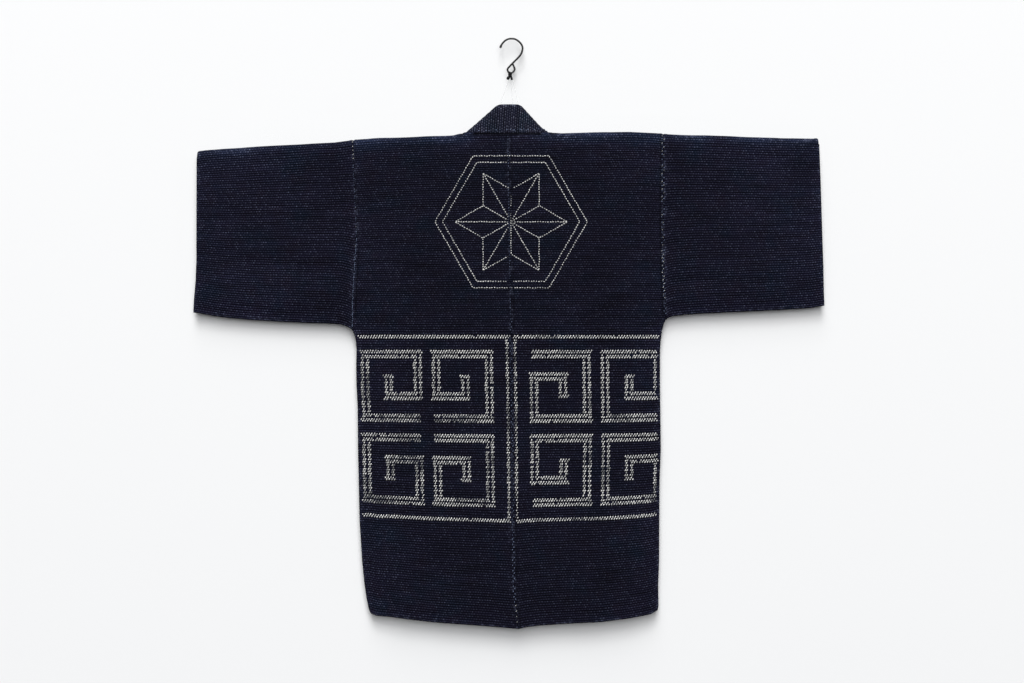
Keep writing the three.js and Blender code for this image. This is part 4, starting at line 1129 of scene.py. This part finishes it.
# the tie: two cords side by side over the foot of the eye, joined behind it and
# bound by a band, with two short, thick ends
cord = thread_material("tie_cord", rgb(30, 30, 33), rgb(10, 10, 12), 0.7)
loops = [
    ([(-3.9, -0.8, -66.4), (-4.0, -1.7, -68.2), (-3.9, -1.1, -70.6), (-3.8, 0.2, -72.8), (-4.1, 0.3, -74.6), (-5.6, 0.7, -76.6), (-7.2, 1.2, -80.3)], 2.0, 3.0),
    ([(-0.2, -0.3, -66.8), (-0.1, -1.2, -68.6), (-0.3, -0.8, -71.0), (-0.4, 0.4, -73.2), (0.0, 0.4, -75.0), (0.8, 0.9, -77.4), (1.7, 1.4, -81.0)], 1.9, 2.2),
    ([(-4.6, 0.8, -74.0), (-4.0, -1.6, -73.4), (-2.0, -2.4, -73.0), (-0.1, -1.5, -73.4), (0.6, 0.6, -74.0), (-0.1, 2.6, -74.4), (-2.2, 3.2, -74.4), (-4.2, 2.4, -74.4)], 1.25, 1.25),
    ([(-2.3, -1.2, -68.0), (-2.3, 0.2, -65.2), (-2.3, 2.0, -64.1), (-2.3, 4.0, -65.0), (-2.4, 5.0, -67.4), (-2.4, 4.0, -70.6), (-2.3, 2.4, -73.6)], 1.0, 1.0),
]
knot_parts = []
for k, (pts, r, r_end) in enumerate(loops):
    path = catmull(pts, 9)
    t = np.linspace(0, 1, len(path))
    thick = (r + (r_end - r) * smooth((t - 0.62) / 0.25)) * np.sqrt(np.clip(1 - np.clip((t - 0.90) / 0.105, 0, 1) ** 2, 0, 1)) * (0.75 + 0.25 * smooth(t / 0.15))
    knot_parts.append(tube_mesh(f"tie_{k}", path, np.maximum(thick, 0.2), 12))
for k, part in enumerate(knot_parts):
    part.name = ("knot_cord_left", "knot_cord_right", "knot_band", "knot_wrap")[k]
    part.data.materials.append(cord)
    part.visible_shadow = False
    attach(part, "root")
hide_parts("knot")

wood = bamboo()
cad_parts["rod"].data.materials.clear()
xs = np.linspace(-ROD_HALF, ROD_HALF - 6, 120)
swell = 0.25 * np.exp(-((((xs / 1000 + 0.71) / 0.236) % 1.0 - 0.5) / 0.012) ** 2)
radius = ROD_RADIUS - 0.35 + swell
radius[0] = radius[-1] = ROD_RADIUS - 1.2
rod = tube_mesh("rod_bamboo", np.stack([xs, 0 * xs, rod_top(xs) - ROD_RADIUS], 1), radius, 24)
rod.data.materials.append(wood)
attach(rod, "root")
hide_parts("rod")

clear = clear_line()
for name, top, top_z, foot in THREADS:
    a = np.array([top, 1.6, top_z + 2.0])
    b = np.array([foot, 0.0, rod_top(foot) + 0.2])
    path = [a + (b - a) * t for t in np.linspace(0, 1, 24)]
    # twice round the rod, then tied off
    loop = [np.array([foot + 0.55 * q / np.pi, (ROD_RADIUS + 0.3) * math.sin(q), rod_top(foot) - ROD_RADIUS + (ROD_RADIUS + 0.3) * math.cos(q)]) for q in np.linspace(0.25, 4 * np.pi, 50)]
    obj = tube_mesh(name + "_line", path + loop, 0.45, 8)
    obj.data.materials.append(clear)
    obj.visible_shadow = False
    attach(obj, "root")
    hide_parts(name)

# ---------------------------------------------------------------- cloth facts
body_flat = {"body_left": (0.321, 1.99), "body_right": (0.317, 1.99)}
for node, obj in pieces.items():
    mesh = obj.data
    if node.startswith("body"):
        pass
    elif node.startswith("sleeve"):
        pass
    else:
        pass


# ---------------------------------------------------------------- stage, light, camera
def stage_material():
    """Plain pale paint, seen only from its lit side, so that the part can be looked at from behind."""
    m, tree = new_material("stage_paint")
    q = Nodes(tree)
    co = q.add("TexCoord").outputs["Object"]
    bs = q.add("BsdfDiffuse")
    sep = q.add("SeparateXYZ")
    q.put(sep.inputs[0], co)
    # painted shade: a little darker towards the floor, as the light falls off, and faintly uneven
    painted_falloff = q.ramp(sep.outputs[2], -1.35, 0.15, 0.0, 1.0, soft=False)
    painted_falloff = q.math("ADD", painted_falloff, q.math("MULTIPLY", q.math("SUBTRACT", q.noise(co, 0.8, 2.0), 0.5), 0.06))
    q.put(bs.inputs["Color"], q.mix(painted_falloff, (0.765, 0.770, 0.778, 1), (0.832, 0.836, 0.842, 1)))
    gone = q.add("BsdfTransparent")
    choice = q.add("MixShader")
    q.put(choice.inputs[0], q.add("NewGeometry").outputs["Backfacing"])
    q.put(choice.inputs[1], bs.outputs[0])
    q.put(choice.inputs[2], gone.outputs[0])
    q.put(q.add("OutputMaterial").inputs[0], choice.outputs[0])
    return m


def plane(name, corners):
    mesh = bpy.data.meshes.new(name)
    mesh.from_pydata(corners, [], [(0, 1, 2, 3)])
    obj = bpy.data.objects.new(name, mesh)
    bpy.context.scene.collection.objects.link(obj)
    return obj


paint = stage_material()
WALL_Y, FLOOR_Z = 0.0185, -1.95
wall = plane("backdrop_wall", [(-3.5, WALL_Y, FLOOR_Z), (3.5, WALL_Y, FLOOR_Z), (3.5, WALL_Y, 1.6), (-3.5, WALL_Y, 1.6)])
floor = plane("floor", [(-3.5, -5.0, FLOOR_Z), (3.5, -5.0, FLOOR_Z), (3.5, WALL_Y, FLOOR_Z), (-3.5, WALL_Y, FLOOR_Z)])
for o in (wall, floor):
    o.data.materials.append(paint)
    o.visible_shadow = o.visible_diffuse = o.visible_glossy = o.visible_transmission = False


def area(name, place, aim, size, power, colour=(1, 1, 1)):
    data = bpy.data.lights.new(name, "AREA")
    data.shape = "RECTANGLE"
    data.size, data.size_y = size
    data.energy = power
    data.color = colour
    obj = bpy.data.objects.new(name, data)
    obj.location = place
    obj.rotation_euler = (Vector(aim) - Vector(place)).to_track_quat("-Z", "Y").to_euler()
    obj.visible_camera = False
    bpy.context.scene.collection.objects.link(obj)
    return obj


def sun(name, azimuth, elevation, angle, strength, colour=(1, 1, 1)):
    """A light from far off: azimuth 0 shines along +Y, elevation above the horizon, angle the width of the light, in degrees."""
    data = bpy.data.lights.new(name, "SUN")
    data.angle = math.radians(angle)
    data.energy = strength
    data.color = colour
    obj = bpy.data.objects.new(name, data)
    a, e = math.radians(azimuth), math.radians(elevation)
    way = Vector((math.sin(a) * math.cos(e), math.cos(a) * math.cos(e), -math.sin(e)))
    obj.rotation_euler = way.to_track_quat("-Z", "Y").to_euler()
    bpy.context.scene.collection.objects.link(obj)
    return obj


sun("key_light", 2.0, 48.0, 30.0, 2.05, (1.0, 0.997, 0.99))
sun("front_light", -3.0, 16.0, 44.0, 1.72, (0.99, 0.995, 1.0))
sun("ceiling_light", 8.0, 66.0, 30.0, 1.30)
area("behind_light", (0.0, 3.2, 1.0), (0.0, 0.0, -0.6), (3.2, 2.4), 60.0)
world = bpy.data.worlds.new("studio")
world.use_nodes = True
world.node_tree.nodes["Background"].inputs[0].default_value = (0.93, 0.94, 0.96, 1)
world.node_tree.nodes["Background"].inputs[1].default_value = 0.062
bpy.context.scene.world = world
bpy.context.scene.view_settings.view_transform = "Standard"

cam = bpy.data.cameras.new("camera")
cam.sensor_width = 36.0
cam.lens = 70.0
camera = bpy.data.objects.new("camera", cam)
FACE_Y = -0.0065
distance = 2.048 * cam.lens / cam.sensor_width
camera.location = (0.0018, FACE_Y - distance, -0.6048)
camera.rotation_euler = (math.pi / 2, 0, 0)
bpy.context.scene.collection.objects.link(camera)
bpy.context.scene.camera = camera

bpy.context.view_layer.update()
